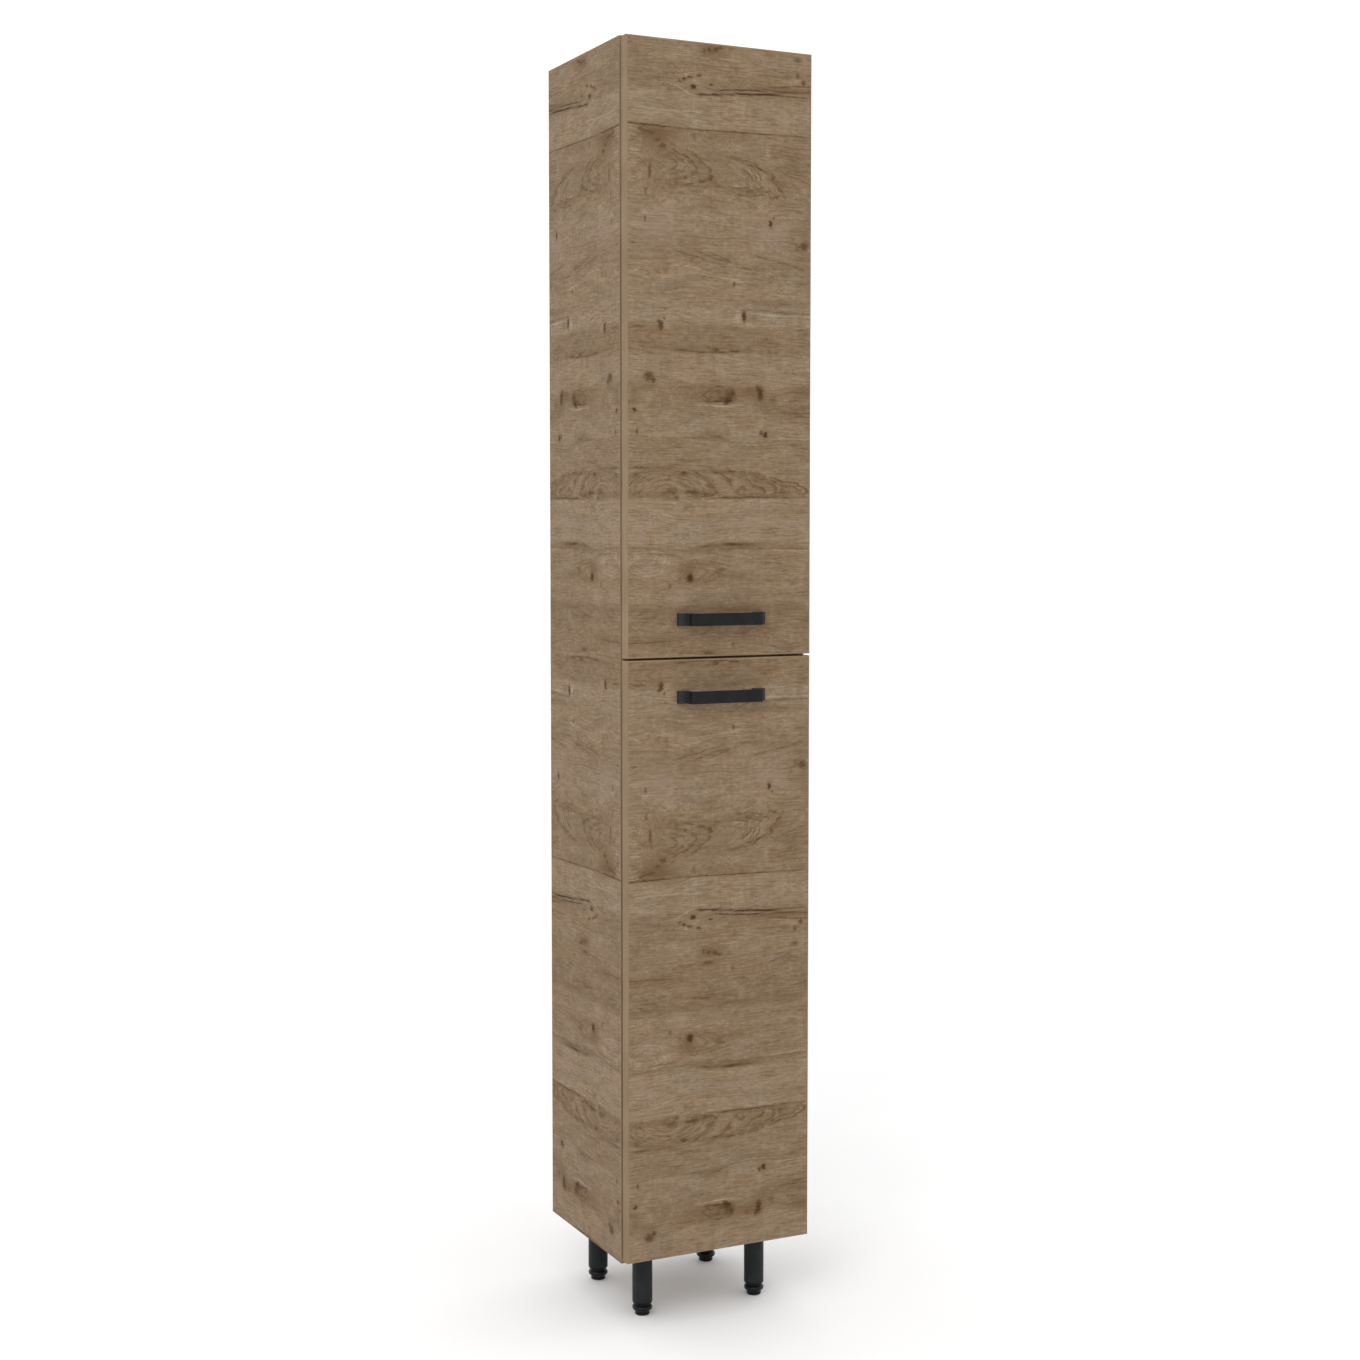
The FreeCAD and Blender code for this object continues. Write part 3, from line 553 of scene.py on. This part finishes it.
def makeOakMarks():  # knots, slits, smudges, patches and long lines
    look = oakPrint
    kinds = ("Pale", "Ash", "Smudge", "Dark")
    tree, given, result = newGroup("oak marks", [("Place", "Vector")], [(kind, "Float") for kind in kinds])
    place = given["Place"]
    rough = shaken(tree, place, look["markFray"])
    frayed = apart(tree, shaken(tree, place, look["lineFray"]))
    pale = spots(tree, rough, look["paleMarks"])
    for line in look["paleLines"]:
        pale = longLine(tree, frayed["X"], frayed["Y"], line, pale)
    dark = 0.0
    for line in look["lines"]:
        dark = longLine(tree, frayed["X"], frayed["Y"], line, dark)
    dark = brokenUp(tree, dark, cloud(tree, place, flat(look["lineBreaks"])), "lineGrain")
    dark = calc(tree, "ADD", dark, spots(tree, rough, look["marks"], firm=True))
    grow, fade = look["haloSize"], look["haloWeight"]  # strong marks have a soft brown halo
    halos = [(u, w, wide * grow, tall * grow, weight * fade)
             for u, w, wide, tall, weight in look["marks"] if weight > look["haloFrom"]]
    smudge = spots(tree, rough, look["smudges"] + halos)
    ash = spots(tree, rough, look["ashPatches"])
    feed(tree, result["Pale"], pale)
    feed(tree, result["Ash"], calc(tree, "MINIMUM", ash, look["mostAsh"]))
    feed(tree, result["Smudge"], calc(tree, "MINIMUM", smudge, look["mostSmudge"]))
    feed(tree, result["Dark"], dark)
    return tree


def useGroup(tree, group, place):
    made = addNode(tree, "ShaderNodeGroup", node_tree=group)
    feed(tree, made.inputs["Place"], place)
    return made.outputs


def grainLayer(tree, point, layer):
    long, tall, detail, rough, _ = layer
    return cloud(tree, point, (long, tall, 1), detail, rough)


def makeOakPrint():
    look = oakPrint
    layers = look["layers"]
    tree, given, result = newGroup(
        "oak print", [("Place", "Vector")], [("Color", "Color"), ("Height", "Float"), ("Grain", "Float")]
    )
    place = given["Place"]
    slow = cloud(tree, place, flat(look["waverSize"]))
    place = vecCalc(tree, "ADD", place, together(tree, y=swing(tree, slow, look["waver"])))
    u, w, _ = apart(tree, place)
    rings = useGroup(tree, makeOakRings(), place)
    marks = useGroup(tree, makeOakMarks(), place)
    stream = together(tree, u, rings["Flow"])  # runs along the bent grain

    # fine lines of yearly growth, in patches
    sway = cloud(tree, place, flat(look["growthSwaySize"]))
    wavy = swing(tree, sway, look["growthSway"], rings["Flow"])
    growth = calc(tree, "FRACT", calc(tree, "DIVIDE", wavy, look["growthSpacing"]))
    growth = calc(tree, "ABSOLUTE", calc(tree, "SUBTRACT", growth, 0.5))
    growth = ease(tree, growth, look["growthWidth"], 0.0)
    growth = calc(tree, "MULTIPLY", growth, patches(tree, place, "growthPatches"))

    # saw marks across the grain and pale flecks, each in patches of their own
    cross = calc(tree, "SUBTRACT", grainLayer(tree, place, layers["cross"]), 0.5)
    cross = calc(tree, "MULTIPLY", cross, patches(tree, place, "crossPatches"))
    flecks = calc(tree, "MULTIPLY", patches(tree, place, "flecks"), patches(tree, place, "fleckPatches"))
    hairs = patches(tree, stream, "hairs")
    pores = patches(tree, stream, "pores")
    streak = grainLayer(tree, stream, layers["streak"])
    fibre = grainLayer(tree, stream, layers["fibre"])

    # everything adds to one tone, which picks the colour
    span = look["levelSpan"]
    planks = [(start / look["tile"], grey(0.5 + level / span)) for start, level in look["planks"]]
    tone = ramp(tree, calc(tree, "DIVIDE", w, look["tile"]), planks)
    for name in ("broad", "dash"):
        tone = swing(tree, grainLayer(tree, stream, layers[name]), layers[name][-1], tone)
    for name in ("blotch", "speckle"):
        tone = swing(tree, grainLayer(tree, place, layers[name]), layers[name][-1], tone)
    tone = swing(tree, streak, layers["streak"][-1], swing(tree, fibre, layers["fibre"][-1], tone))
    tone = calc(tree, "MULTIPLY_ADD", cross, layers["cross"][-1], tone)
    details = ((flecks, "fleckTone"), (growth, "growthTone"), (hairs, "hairTone"), (pores, "poreTone"))
    for detail, amount in details:
        tone = calc(tree, "MULTIPLY_ADD", detail, look[amount], tone)
    tone = calc(tree, "ADD", marks["Pale"], tone)
    tone = calc(tree, "SUBTRACT", tone, brokenUp(tree, rings["Rings"], fibre, "ringGrain"))
    steps = [step / (look["toneStops"] - 1) for step in range(look["toneStops"])]
    colour = ramp(tree, tone, [(step, shade(step * span - span / 2)) for step in steps])
    warmth = cloud(tree, place, flat(look["warmthSize"]))
    colour = vecCalc(tree, "MULTIPLY", colour, ramp(tree, warmth, look["warmth"]))

    ash = brokenUp(tree, marks["Ash"], fibre, "ashGrain")
    colour = tint(tree, ash, colour, linear(*look["ashPatch"]))
    smudge = brokenUp(tree, marks["Smudge"], streak, "smudgeGrain")
    colour = tint(tree, smudge, colour, linear(*look["smudge"]))
    dark = calc(tree, "MINIMUM", brokenUp(tree, marks["Dark"], fibre, "markGrain"), look["mostDark"])
    colour = tint(tree, dark, colour, linear(*look["darkMark"]))
    feed(tree, result["Color"], colour)
    feed(tree, result["Height"], calc(tree, "MULTIPLY_ADD", pores, look["poreHeight"], streak))
    feed(tree, result["Grain"], streak)
    return tree


oakGroup = makeOakPrint()
print("oak print made")


# Edging: a plainer and lighter print whose grain runs along the strip

edging = {
    "tones": [(0.0, (124, 102, 78)), (0.5, (144, 122, 98)), (1.0, (158, 137, 113))],
    "grainWidth": 2.2,
    "grainLength": 120.0,
    "grainNoise": (3.0, 0.6),
    "grainTone": 1.0,
    "slow": ((60, 60, 60), 2.0, 0.5),
    "slowTone": 0.8,
    "uprightFrom": 130.5,  # strips further out than this stand upright
    "roughness": 0.5,
    "roughnessSwing": 0.3,
    "gloss": 0.05,
    "reliefDepth": 0.05,
}


def edgingGrain(tree, place, axis):  # streaks along x, y or z
    sizes = [edging["grainWidth"]] * 3
    sizes["xyz".index(axis)] = edging["grainLength"]
    return solidCloud(tree, place, (sizes, *edging["grainNoise"]))


def edgingColour(tree, place, grain):
    slow = solidCloud(tree, place, edging["slow"])
    tone = swing(tree, slow, edging["slowTone"], swing(tree, grain, edging["grainTone"], 0.5))
    return ramp(tree, tone, tones(edging["tones"]))


# Boards: where the print lies on each of them, and the raw core on their cut edges

boards = {
    "seamHeight": 981.5,  # between the doors
    "upperTop": 1858.0,  # the print starts here on the upper door
    "lowerStart": 540.0,  # and here on the lower one
    "doorLeft": -149.0,
    "sideFront": -107.25,
    "levelOffset": 560.0,  # stretch of the print on shelves, top and bottom
    "chipScale": (0.35, 0.35, 0.6),
    "chipTones": [(0.0, (112, 88, 64)), (0.5, (158, 132, 102)), (1.0, (188, 164, 134))],
    "gain": (0.815, 0.815, 0.81),
    "roughness": 0.52,
    "roughnessSwing": 0.25,
    "gloss": 0.035,
    "reliefDepth": 0.10,
}


def printHeight(tree, z):  # the lower door and the lower half of the sides carry the print upside down
    upper = calc(tree, "SUBTRACT", boards["upperTop"], z)
    lower = calc(tree, "FLOORED_MODULO", calc(tree, "SUBTRACT", z, boards["lowerStart"]), oakPrint["tile"])
    isUpper = calc(tree, "GREATER_THAN", z, boards["seamHeight"])
    return calc(tree, "MULTIPLY_ADD", calc(tree, "SUBTRACT", upper, lower), isUpper, lower)


def chipCore(tree, place):  # pressed wood chips
    chips = addNode(tree, "ShaderNodeTexVoronoi")
    feed(tree, chips.inputs["Vector"], vecCalc(tree, "MULTIPLY", place, boards["chipScale"]))
    chips.inputs["Scale"].default_value = 1.0
    pick = apart(tree, chips.outputs["Color"])["X"]
    return ramp(tree, pick, tones(boards["chipTones"]))


def makeBoard(name, faceAxis):
    made, tree, surface, place, normal = newMaterial(name, Specular_IOR_Level=boards["gloss"])
    x, y, z = apart(tree, place)
    if faceAxis == "X":
        u = calc(tree, "SUBTRACT", y, boards["sideFront"])
    else:
        u = calc(tree, "SUBTRACT", x, boards["doorLeft"])
    w = calc(tree, "ADD", y, boards["levelOffset"]) if faceAxis == "Z" else printHeight(tree, z)
    oak = useGroup(tree, oakGroup, together(tree, u, w))
    edge = chipCore(tree, place)
    if faceAxis == "X":  # the top ends of the sides are banded
        banded = edgingColour(tree, place, edgingGrain(tree, place, "y"))
        edge = tint(tree, facing(tree, normal, "Z"), edge, banded)
    colour = tint(tree, facing(tree, normal, faceAxis), edge, oak["Color"])
    colour = vecCalc(tree, "MULTIPLY", colour, boards["gain"])
    roughness = swing(tree, oak["Grain"], boards["roughnessSwing"], boards["roughness"])
    finish(tree, surface, colour, roughness, oak["Height"], boards["reliefDepth"])
    return made


frontOak = makeBoard("oak laminate front", "Y")
sideOak = makeBoard("oak laminate side", "X")
shelfOak = makeBoard("oak laminate shelf", "Z")
print("boards made")


def makeEdging():
    made, tree, surface, place, _ = newMaterial("oak edging", Specular_IOR_Level=edging["gloss"])
    outward = calc(tree, "ABSOLUTE", apart(tree, place)["X"])
    upright = ease(tree, outward, edging["uprightFrom"], edging["uprightFrom"] + 1)
    grainUp = edgingGrain(tree, place, "z")
    grainAcross = edgingGrain(tree, place, "x")
    grain = calc(tree, "MULTIPLY_ADD", calc(tree, "SUBTRACT", grainUp, grainAcross), upright, grainAcross)
    colour = vecCalc(tree, "MULTIPLY", edgingColour(tree, place, grain), boards["gain"])
    roughness = swing(tree, grain, edging["roughnessSwing"], edging["roughness"])
    finish(tree, surface, colour, roughness, grain, edging["reliefDepth"])
    return made


# Back panel: printed towards the shelves, bare brown fibreboard towards the wall

backing = {
    "bareTones": [(0.25, (98, 76, 56)), (0.5, (130, 104, 78)), (0.75, (152, 125, 97))],
    "fibres": ((5, 5, 9), 4.0, 0.7),
    "fibreHeight": 0.6,
    "sieve": 2.4,  # the press sieve leaves a fine net in the bare face
    "roughness": 0.7,
    "roughnessSwing": 0.3,
    "gloss": 0.15,
    "reliefDepth": 0.12,
}


def makeBacking():
    look = backing
    made, tree, surface, place, normal = newMaterial("printed fibreboard", Specular_IOR_Level=look["gloss"])
    x, _, z = apart(tree, place)
    u = calc(tree, "SUBTRACT", x, boards["doorLeft"])
    oak = useGroup(tree, oakGroup, together(tree, u, printHeight(tree, z)))
    fibres = solidCloud(tree, place, look["fibres"])
    bare = ramp(tree, fibres, tones(look["bareTones"]))
    inward = calc(tree, "LESS_THAN", apart(tree, normal)["Y"], -squareOn)
    colour = tint(tree, inward, bare, oak["Color"])
    colour = vecCalc(tree, "MULTIPLY", colour, boards["gain"])
    roughness = swing(tree, fibres, look["roughnessSwing"], look["roughness"])
    turns = 2 * math.pi / look["sieve"]
    waves = [calc(tree, "SINE", calc(tree, "MULTIPLY", part, turns)) for part in (x, z)]
    net = calc(tree, "MULTIPLY", calc(tree, "MULTIPLY", *waves), calc(tree, "SUBTRACT", 1.0, inward))
    height = calc(tree, "MULTIPLY_ADD", fibres, look["fibreHeight"], net)
    finish(tree, surface, colour, roughness, height, look["reliefDepth"])
    return made


# Dowels

dowelWood = {
    "tones": [(0.3, (178, 134, 92)), (0.6, (206, 166, 122)), (0.8, (222, 188, 148))],
    "flakes": ((7, 1.2, 1.2), 3.0, 0.6),
    "roughness": 0.62,
    "roughnessSwing": 0.3,
    "gloss": 0.2,
    "reliefDepth": 0.08,
}


def makeBeech():
    look = dowelWood
    made, tree, surface, place, _ = newMaterial("beech", Specular_IOR_Level=look["gloss"])
    flakes = solidCloud(tree, place, look["flakes"])
    roughness = swing(tree, flakes, look["roughnessSwing"], look["roughness"])
    finish(tree, surface, ramp(tree, flakes, tones(look["tones"])), roughness, flakes, look["reliefDepth"])
    return made


# Metal fittings: colour, roughness, size of the brush marks

metals = {
    "nickel plate": ((0.58, 0.56, 0.52), 0.26, (0.24, 3.12, 0.24)),
    "zinc casting": ((0.50, 0.51, 0.53), 0.42, (0.36, 0.36, 0.36)),
    "zinc plate": ((0.56, 0.57, 0.58), 0.30, (0.36, 0.36, 0.12)),
    "bright steel": ((0.60, 0.60, 0.60), 0.20, (0.12, 0.12, 1.68)),
}
metalWear = {
    "mottle": ((11, 11, 11), 3.0, 0.6),
    "dullRange": (0.35, 0.7),
    "dullness": 0.72,
    "mottleRoughness": 0.2,
    "brushNoise": (2.0, 0.6),
    "brushRoughness": 0.25,
    "brushDepth": 0.015,
}


def makeMetal(name):
    colour, roughness, brush = metals[name]
    made, tree, surface, place, _ = newMaterial(name, Metallic=1.0)
    mottle = solidCloud(tree, place, metalWear["mottle"])
    brushed = solidCloud(tree, place, (brush, *metalWear["brushNoise"]))
    dull = [part * metalWear["dullness"] for part in colour]
    worn = tint(tree, ease(tree, mottle, *metalWear["dullRange"]), (*colour, 1), (*dull, 1))
    roughness = swing(tree, mottle, metalWear["mottleRoughness"], roughness)
    roughness = swing(tree, brushed, metalWear["brushRoughness"], roughness)
    finish(tree, surface, worn, roughness, brushed, metalWear["brushDepth"])
    return made


# Black finishes: colour, roughness, gloss, grain size, grain depth

blacks = {
    "black handle coat": ((0.0078, 0.0080, 0.0088), 0.40, 0.13, 0.8, 0.030),
    "black leg coat": ((0.0105, 0.0125, 0.0130), 0.46, 0.16, 0.9, 0.035),
    "black moulding": ((0.0030, 0.0030, 0.0032), 0.30, 0.22, 0.5, 0.012),
}
blackWearAndSheen = {
    "dust": ((22, 22, 30), 4.0, 0.65),
    "dustRange": (0.4, 0.75),
    "dustPaler": 1.7,
    "dustRoughness": 0.25,
    "grainNoise": (2.0, 0.5),
    "grainRoughness": 0.16,
    # painted sheen: the handle faces near the door are painted paler than the bars, standing in for a
    # reflection: the paler colour, and y between which it fades in towards the door
    "handlePaintedSheen": (0.028, 0.028, 0.032, 1),
    "handleSheenRange": (-149.0, -138.0),
}


def makeBlack(name):
    colour, roughness, gloss, size, depth = blacks[name]
    made, tree, surface, place, _ = newMaterial(name, Specular_IOR_Level=gloss)
    grain = solidCloud(tree, place, ([size] * 3, *blackWearAndSheen["grainNoise"]))
    dust = solidCloud(tree, place, blackWearAndSheen["dust"])
    paler = [part * blackWearAndSheen["dustPaler"] for part in colour]
    coat = tint(tree, ease(tree, dust, *blackWearAndSheen["dustRange"]), (*colour, 1), (*paler, 1))
    # painted sheen on the handles: paler towards the door, as a reflection would make them
    if name == "black handle coat":
        inward = ease(tree, apart(tree, place)["Y"], *blackWearAndSheen["handleSheenRange"])
        coat = tint(tree, inward, coat, blackWearAndSheen["handlePaintedSheen"])
    roughness = swing(tree, dust, blackWearAndSheen["dustRoughness"], roughness)
    roughness = swing(tree, grain, blackWearAndSheen["grainRoughness"], roughness)
    finish(tree, surface, coat, roughness, grain, depth)
    return made


# Door bumpers

bumperLook = {
    "tones": [(0.3, (0.80, 0.80, 0.77, 1)), (0.7, (0.93, 0.93, 0.91, 1))],
    "haze": ((4, 4, 4), 2.0, 0.5),
    "clearness": 0.75,
    "bending": 1.43,
    "roughness": 0.25,
    "roughnessSwing": 0.3,
    "reliefDepth": 0.02,
}


def makeBumper():
    look = bumperLook
    clear = {"Transmission_Weight": look["clearness"], "IOR": look["bending"]}
    made, tree, surface, place, _ = newMaterial("clear bumper", **clear)
    haze = solidCloud(tree, place, look["haze"])
    roughness = swing(tree, haze, look["roughnessSwing"], look["roughness"])
    finish(tree, surface, ramp(tree, haze, look["tones"]), roughness, haze, look["reliefDepth"])
    return made


edgingOak = makeEdging()
fibreboard = makeBacking()
beech = makeBeech()
metal = {name: makeMetal(name) for name in metals}
black = {name: makeBlack(name) for name in blacks}
bumper = makeBumper()
print("finishes made")


def dress(material, *names):
    for name in names:
        slots = nodes[name].data.materials
        slots.clear()
        slots.append(material)


doors = ("upper", "lower")
legs = [f"{row}_{hand}" for row in ("front", "rear") for hand in ("left", "right")]
dress(frontOak, *[f"{door}_door_panel" for door in doors])
dress(sideOak, "left_side_panel", "right_side_panel")
dress(shelfOak, "top_panel", "bottom_panel", "middle_shelf")
dress(shelfOak, *[f"{door}_shelf_{step}" for door in doors for step in (1, 2)])
dress(edgingOak, "carcass_edge_bands", "shelf_edge_bands", *[f"{door}_door_edge_band" for door in doors])
dress(fibreboard, "back_panel")
dress(beech, "wooden_dowels")
dress(metal["zinc casting"], "cam_locks", "cam_bolts", "wall_brackets")
dress(metal["nickel plate"], "hinge_arms", "hinge_mounting_plates", *[f"{door}_hinge_cups" for door in doors])
dress(metal["nickel plate"], *[f"{door}_shelf_pins" for door in doors])
dress(metal["bright steel"], *[f"{door}_hinge_pins" for door in doors])
dress(metal["zinc plate"], "hinge_plate_screws", "hinge_arm_screws")
dress(metal["zinc plate"], "leg_plate_screws", "wall_bracket_screws")
dress(metal["zinc plate"], *[f"{door}_{kind}_screws" for door in doors for kind in ("hinge_cup", "handle")])
dress(metal["zinc plate"], *[f"{leg}_foot_stud" for leg in legs])
dress(black["black handle coat"], *[f"{door}_door_handle" for door in doors])
dress(black["black leg coat"], "leg_mounting_plates", *[f"{leg}_leg" for leg in legs])
dress(black["black moulding"], "leg_end_plugs", *[f"{leg}_foot" for leg in legs])
dress(bumper, *[f"{door}_door_bumpers" for door in doors])
print("nodes dressed")


# Threads on the studs of the levelling feet

stud = {
    "crest": 3.95,
    "root": 3.35,
    "pitch": 1.25,
    "sides": 24,
    "stepsPerTurn": 8,
    "leadIn": 0.9,  # how far the ends are chamfered below the root
    "steepness": 1.5,
    "flatness": 0.25,  # flat crests and flat roots
}


def makeThreadTree():  # a rod whose surface rises and falls along a helix
    tree = bpy.data.node_groups.new("threaded stud", "GeometryNodeTree")
    for label, kind in (("Centre", "Vector"), ("Length", "Float"), ("Crest", "Float"), ("Root", "Float"),
                        ("Pitch", "Float"), ("Lead In", "Float"), ("Sides", "Int"), ("Steps", "Int"),
                        ("Finish", "Material")):
        tree.interface.new_socket(label, in_out="INPUT", socket_type="NodeSocket" + kind)
    tree.interface.new_socket("Geometry", in_out="OUTPUT", socket_type="NodeSocketGeometry")
    given = addNode(tree, "NodeGroupInput").outputs
    rod = addNode(tree, "GeometryNodeMeshCylinder", fill_type="TRIANGLE_FAN")
    for label, value in (("Vertices", given["Sides"]), ("Side Segments", given["Steps"]), ("Radius", 1.0),
                         ("Depth", given["Length"])):
        feed(tree, rod.inputs[label], value)
    x, y, z = apart(tree, addNode(tree, "GeometryNodeInputPosition").outputs[0])
    turn = calc(tree, "DIVIDE", calc(tree, "ARCTAN2", y, x), 2 * math.pi)
    along = calc(tree, "FRACT", calc(tree, "SUBTRACT", calc(tree, "DIVIDE", z, given["Pitch"]), turn))
    ridge = calc(tree, "ABSOLUTE", calc(tree, "MULTIPLY_ADD", along, 2.0, -1.0))
    ridge = calc(tree, "MULTIPLY_ADD", ridge, stud["steepness"], -stud["flatness"], clamp=True)
    depth = calc(tree, "SUBTRACT", given["Crest"], given["Root"])
    radius = calc(tree, "MULTIPLY_ADD", depth, ridge, given["Root"])
    toEnd = calc(tree, "SUBTRACT", calc(tree, "MULTIPLY", given["Length"], 0.5), calc(tree, "ABSOLUTE", z))
    chamfer = calc(tree, "ADD", calc(tree, "SUBTRACT", given["Root"], given["Lead In"]), toEnd)
    radius = calc(tree, "MINIMUM", radius, chamfer)
    shaped = vecCalc(tree, "MULTIPLY", together(tree, x, y, z), together(tree, radius, radius, 1.0))
    moved = addNode(tree, "GeometryNodeSetPosition")
    tree.links.new(rod.outputs["Mesh"], moved.inputs["Geometry"])
    feed(tree, moved.inputs["Position"], vecCalc(tree, "ADD", shaped, given["Centre"]))
    smooth = addNode(tree, "GeometryNodeSetShadeSmooth")
    tree.links.new(moved.outputs[0], smooth.inputs[0])
    real = addNode(tree, "GeometryNodeRealizeInstances")
    tree.links.new(smooth.outputs[0], real.inputs[0])
    plated = addNode(tree, "GeometryNodeSetMaterial")
    tree.links.new(real.outputs[0], plated.inputs["Geometry"])
    tree.links.new(given["Finish"], plated.inputs["Material"])
    tree.links.new(plated.outputs[0], addNode(tree, "NodeGroupOutput").inputs[0])
    return tree


def makeStud(tree, leg):
    low, high = [Vector(corner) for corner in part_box(f"{leg}_foot_stud")]
    length = high.z - low.z
    turns = length * 1000 / stud["pitch"]
    sizes = {
        "Centre": (low + high) / 2,
        "Length": length,
        "Crest": stud["crest"] / 1000,
        "Root": stud["root"] / 1000,
        "Pitch": stud["pitch"] / 1000,
        "Lead In": stud["leadIn"] / 1000,
        "Sides": stud["sides"],
        "Steps": round(turns * stud["stepsPerTurn"]),
        "Finish": metal["zinc plate"],
    }
    name = f"{leg}_threaded_stud"
    piece = bpy.data.objects.new(name, bpy.data.meshes.new(name))
    bpy.context.scene.collection.objects.link(piece)
    shaping = piece.modifiers.new("thread", "NODES")
    shaping.node_group = tree
    for socket in tree.interface.items_tree:
        if socket.in_out == "INPUT":
            shaping[socket.identifier] = sizes[socket.name]
    shaped = piece.evaluated_get(bpy.context.evaluated_depsgraph_get())
    plain = bpy.data.meshes.new_from_object(shaped)
    piece.modifiers.remove(shaping)
    piece.data = plain
    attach(piece, f"{leg}_levelling_foot")
    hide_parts(f"{leg}_foot_stud")
    return len(plain.polygons)


threadTree = makeThreadTree()
studFaces = [makeStud(threadTree, leg) for leg in legs]
print("threaded studs made:", studFaces, "faces")


# Camera, light and floor

viewSettings = {
    "place": (-1.3818, -2.8212, 1.1719),
    "yaw": -26.05,
    "pitch": -3.48,
    "lens": 55.265,
    "sensor": 36.0,
    "shiftDown": 0.02,
    "worldWhite": 1.12,
    "aim": (0.0, 0.0, 1.2),
    # soft boxes: name, place, size, power
    "lights": [("key", (-2.6, -2.8, 3.4), 2.0, 45.0)],
}
floorLook = {
    "size": 60.0,
    "clouds": ((400, 400, 400), 2.0, 0.5),
    "tones": [(0.3, grey(0.90)), (0.7, grey(0.92))],
    "roughness": 0.8,
    "roughnessSwing": 0.1,
    "gloss": 0.1,
}


def makeCamera(settings):
    camera = bpy.data.objects.new("camera", bpy.data.cameras.new("camera"))
    camera.location = settings["place"]
    camera.rotation_euler = (math.radians(90 + settings["pitch"]), 0, math.radians(settings["yaw"]))
    camera.data.lens = settings["lens"]
    camera.data.sensor_width = settings["sensor"]
    camera.data.shift_y = -settings["shiftDown"]
    bpy.context.scene.collection.objects.link(camera)
    bpy.context.scene.camera = camera


def makeFloor(look):
    half = look["size"] / 2
    corners = [(-half, -half, 0), (half, -half, 0), (half, half, 0), (-half, half, 0)]
    mesh = bpy.data.meshes.new("floor")
    mesh.from_pydata(corners, [], [(0, 1, 2, 3)])
    floor = bpy.data.objects.new("floor", mesh)
    made, tree, surface, place, _ = newMaterial("pale floor", Specular_IOR_Level=look["gloss"])
    cloudy = solidCloud(tree, place, look["clouds"])
    feed(tree, surface.inputs["Base Color"], ramp(tree, cloudy, look["tones"]))
    roughness = swing(tree, cloudy, look["roughnessSwing"], look["roughness"])
    feed(tree, surface.inputs["Roughness"], roughness)
    mesh.materials.append(made)
    bpy.context.scene.collection.objects.link(floor)
    floor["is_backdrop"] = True


def makeLight(name, place, target, size, power):
    lamp = bpy.data.lights.new(name, "AREA")
    lamp.size = size
    lamp.energy = power
    light = bpy.data.objects.new(name, lamp)
    light.location = place
    light.rotation_euler = (Vector(target) - Vector(place)).to_track_quat("-Z", "Y").to_euler()
    bpy.context.scene.collection.objects.link(light)


def makeWorld(strength):
    world = bpy.data.worlds.new("studio")
    world.use_nodes = True
    background = world.node_tree.nodes["Background"]
    background.inputs["Color"].default_value = (1, 1, 1, 1)
    background.inputs["Strength"].default_value = strength
    bpy.context.scene.world = world


makeCamera(viewSettings)
makeFloor(floorLook)
makeWorld(viewSettings["worldWhite"])
for name, place, size, power in viewSettings["lights"]:
    makeLight(name, place, viewSettings["aim"], size, power)
bpy.context.scene.view_settings.view_transform = "Standard"
print("camera and light set")

size = {"cad": [list(corner) for corner in cadBox], "visual": [list(corner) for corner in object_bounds()]}
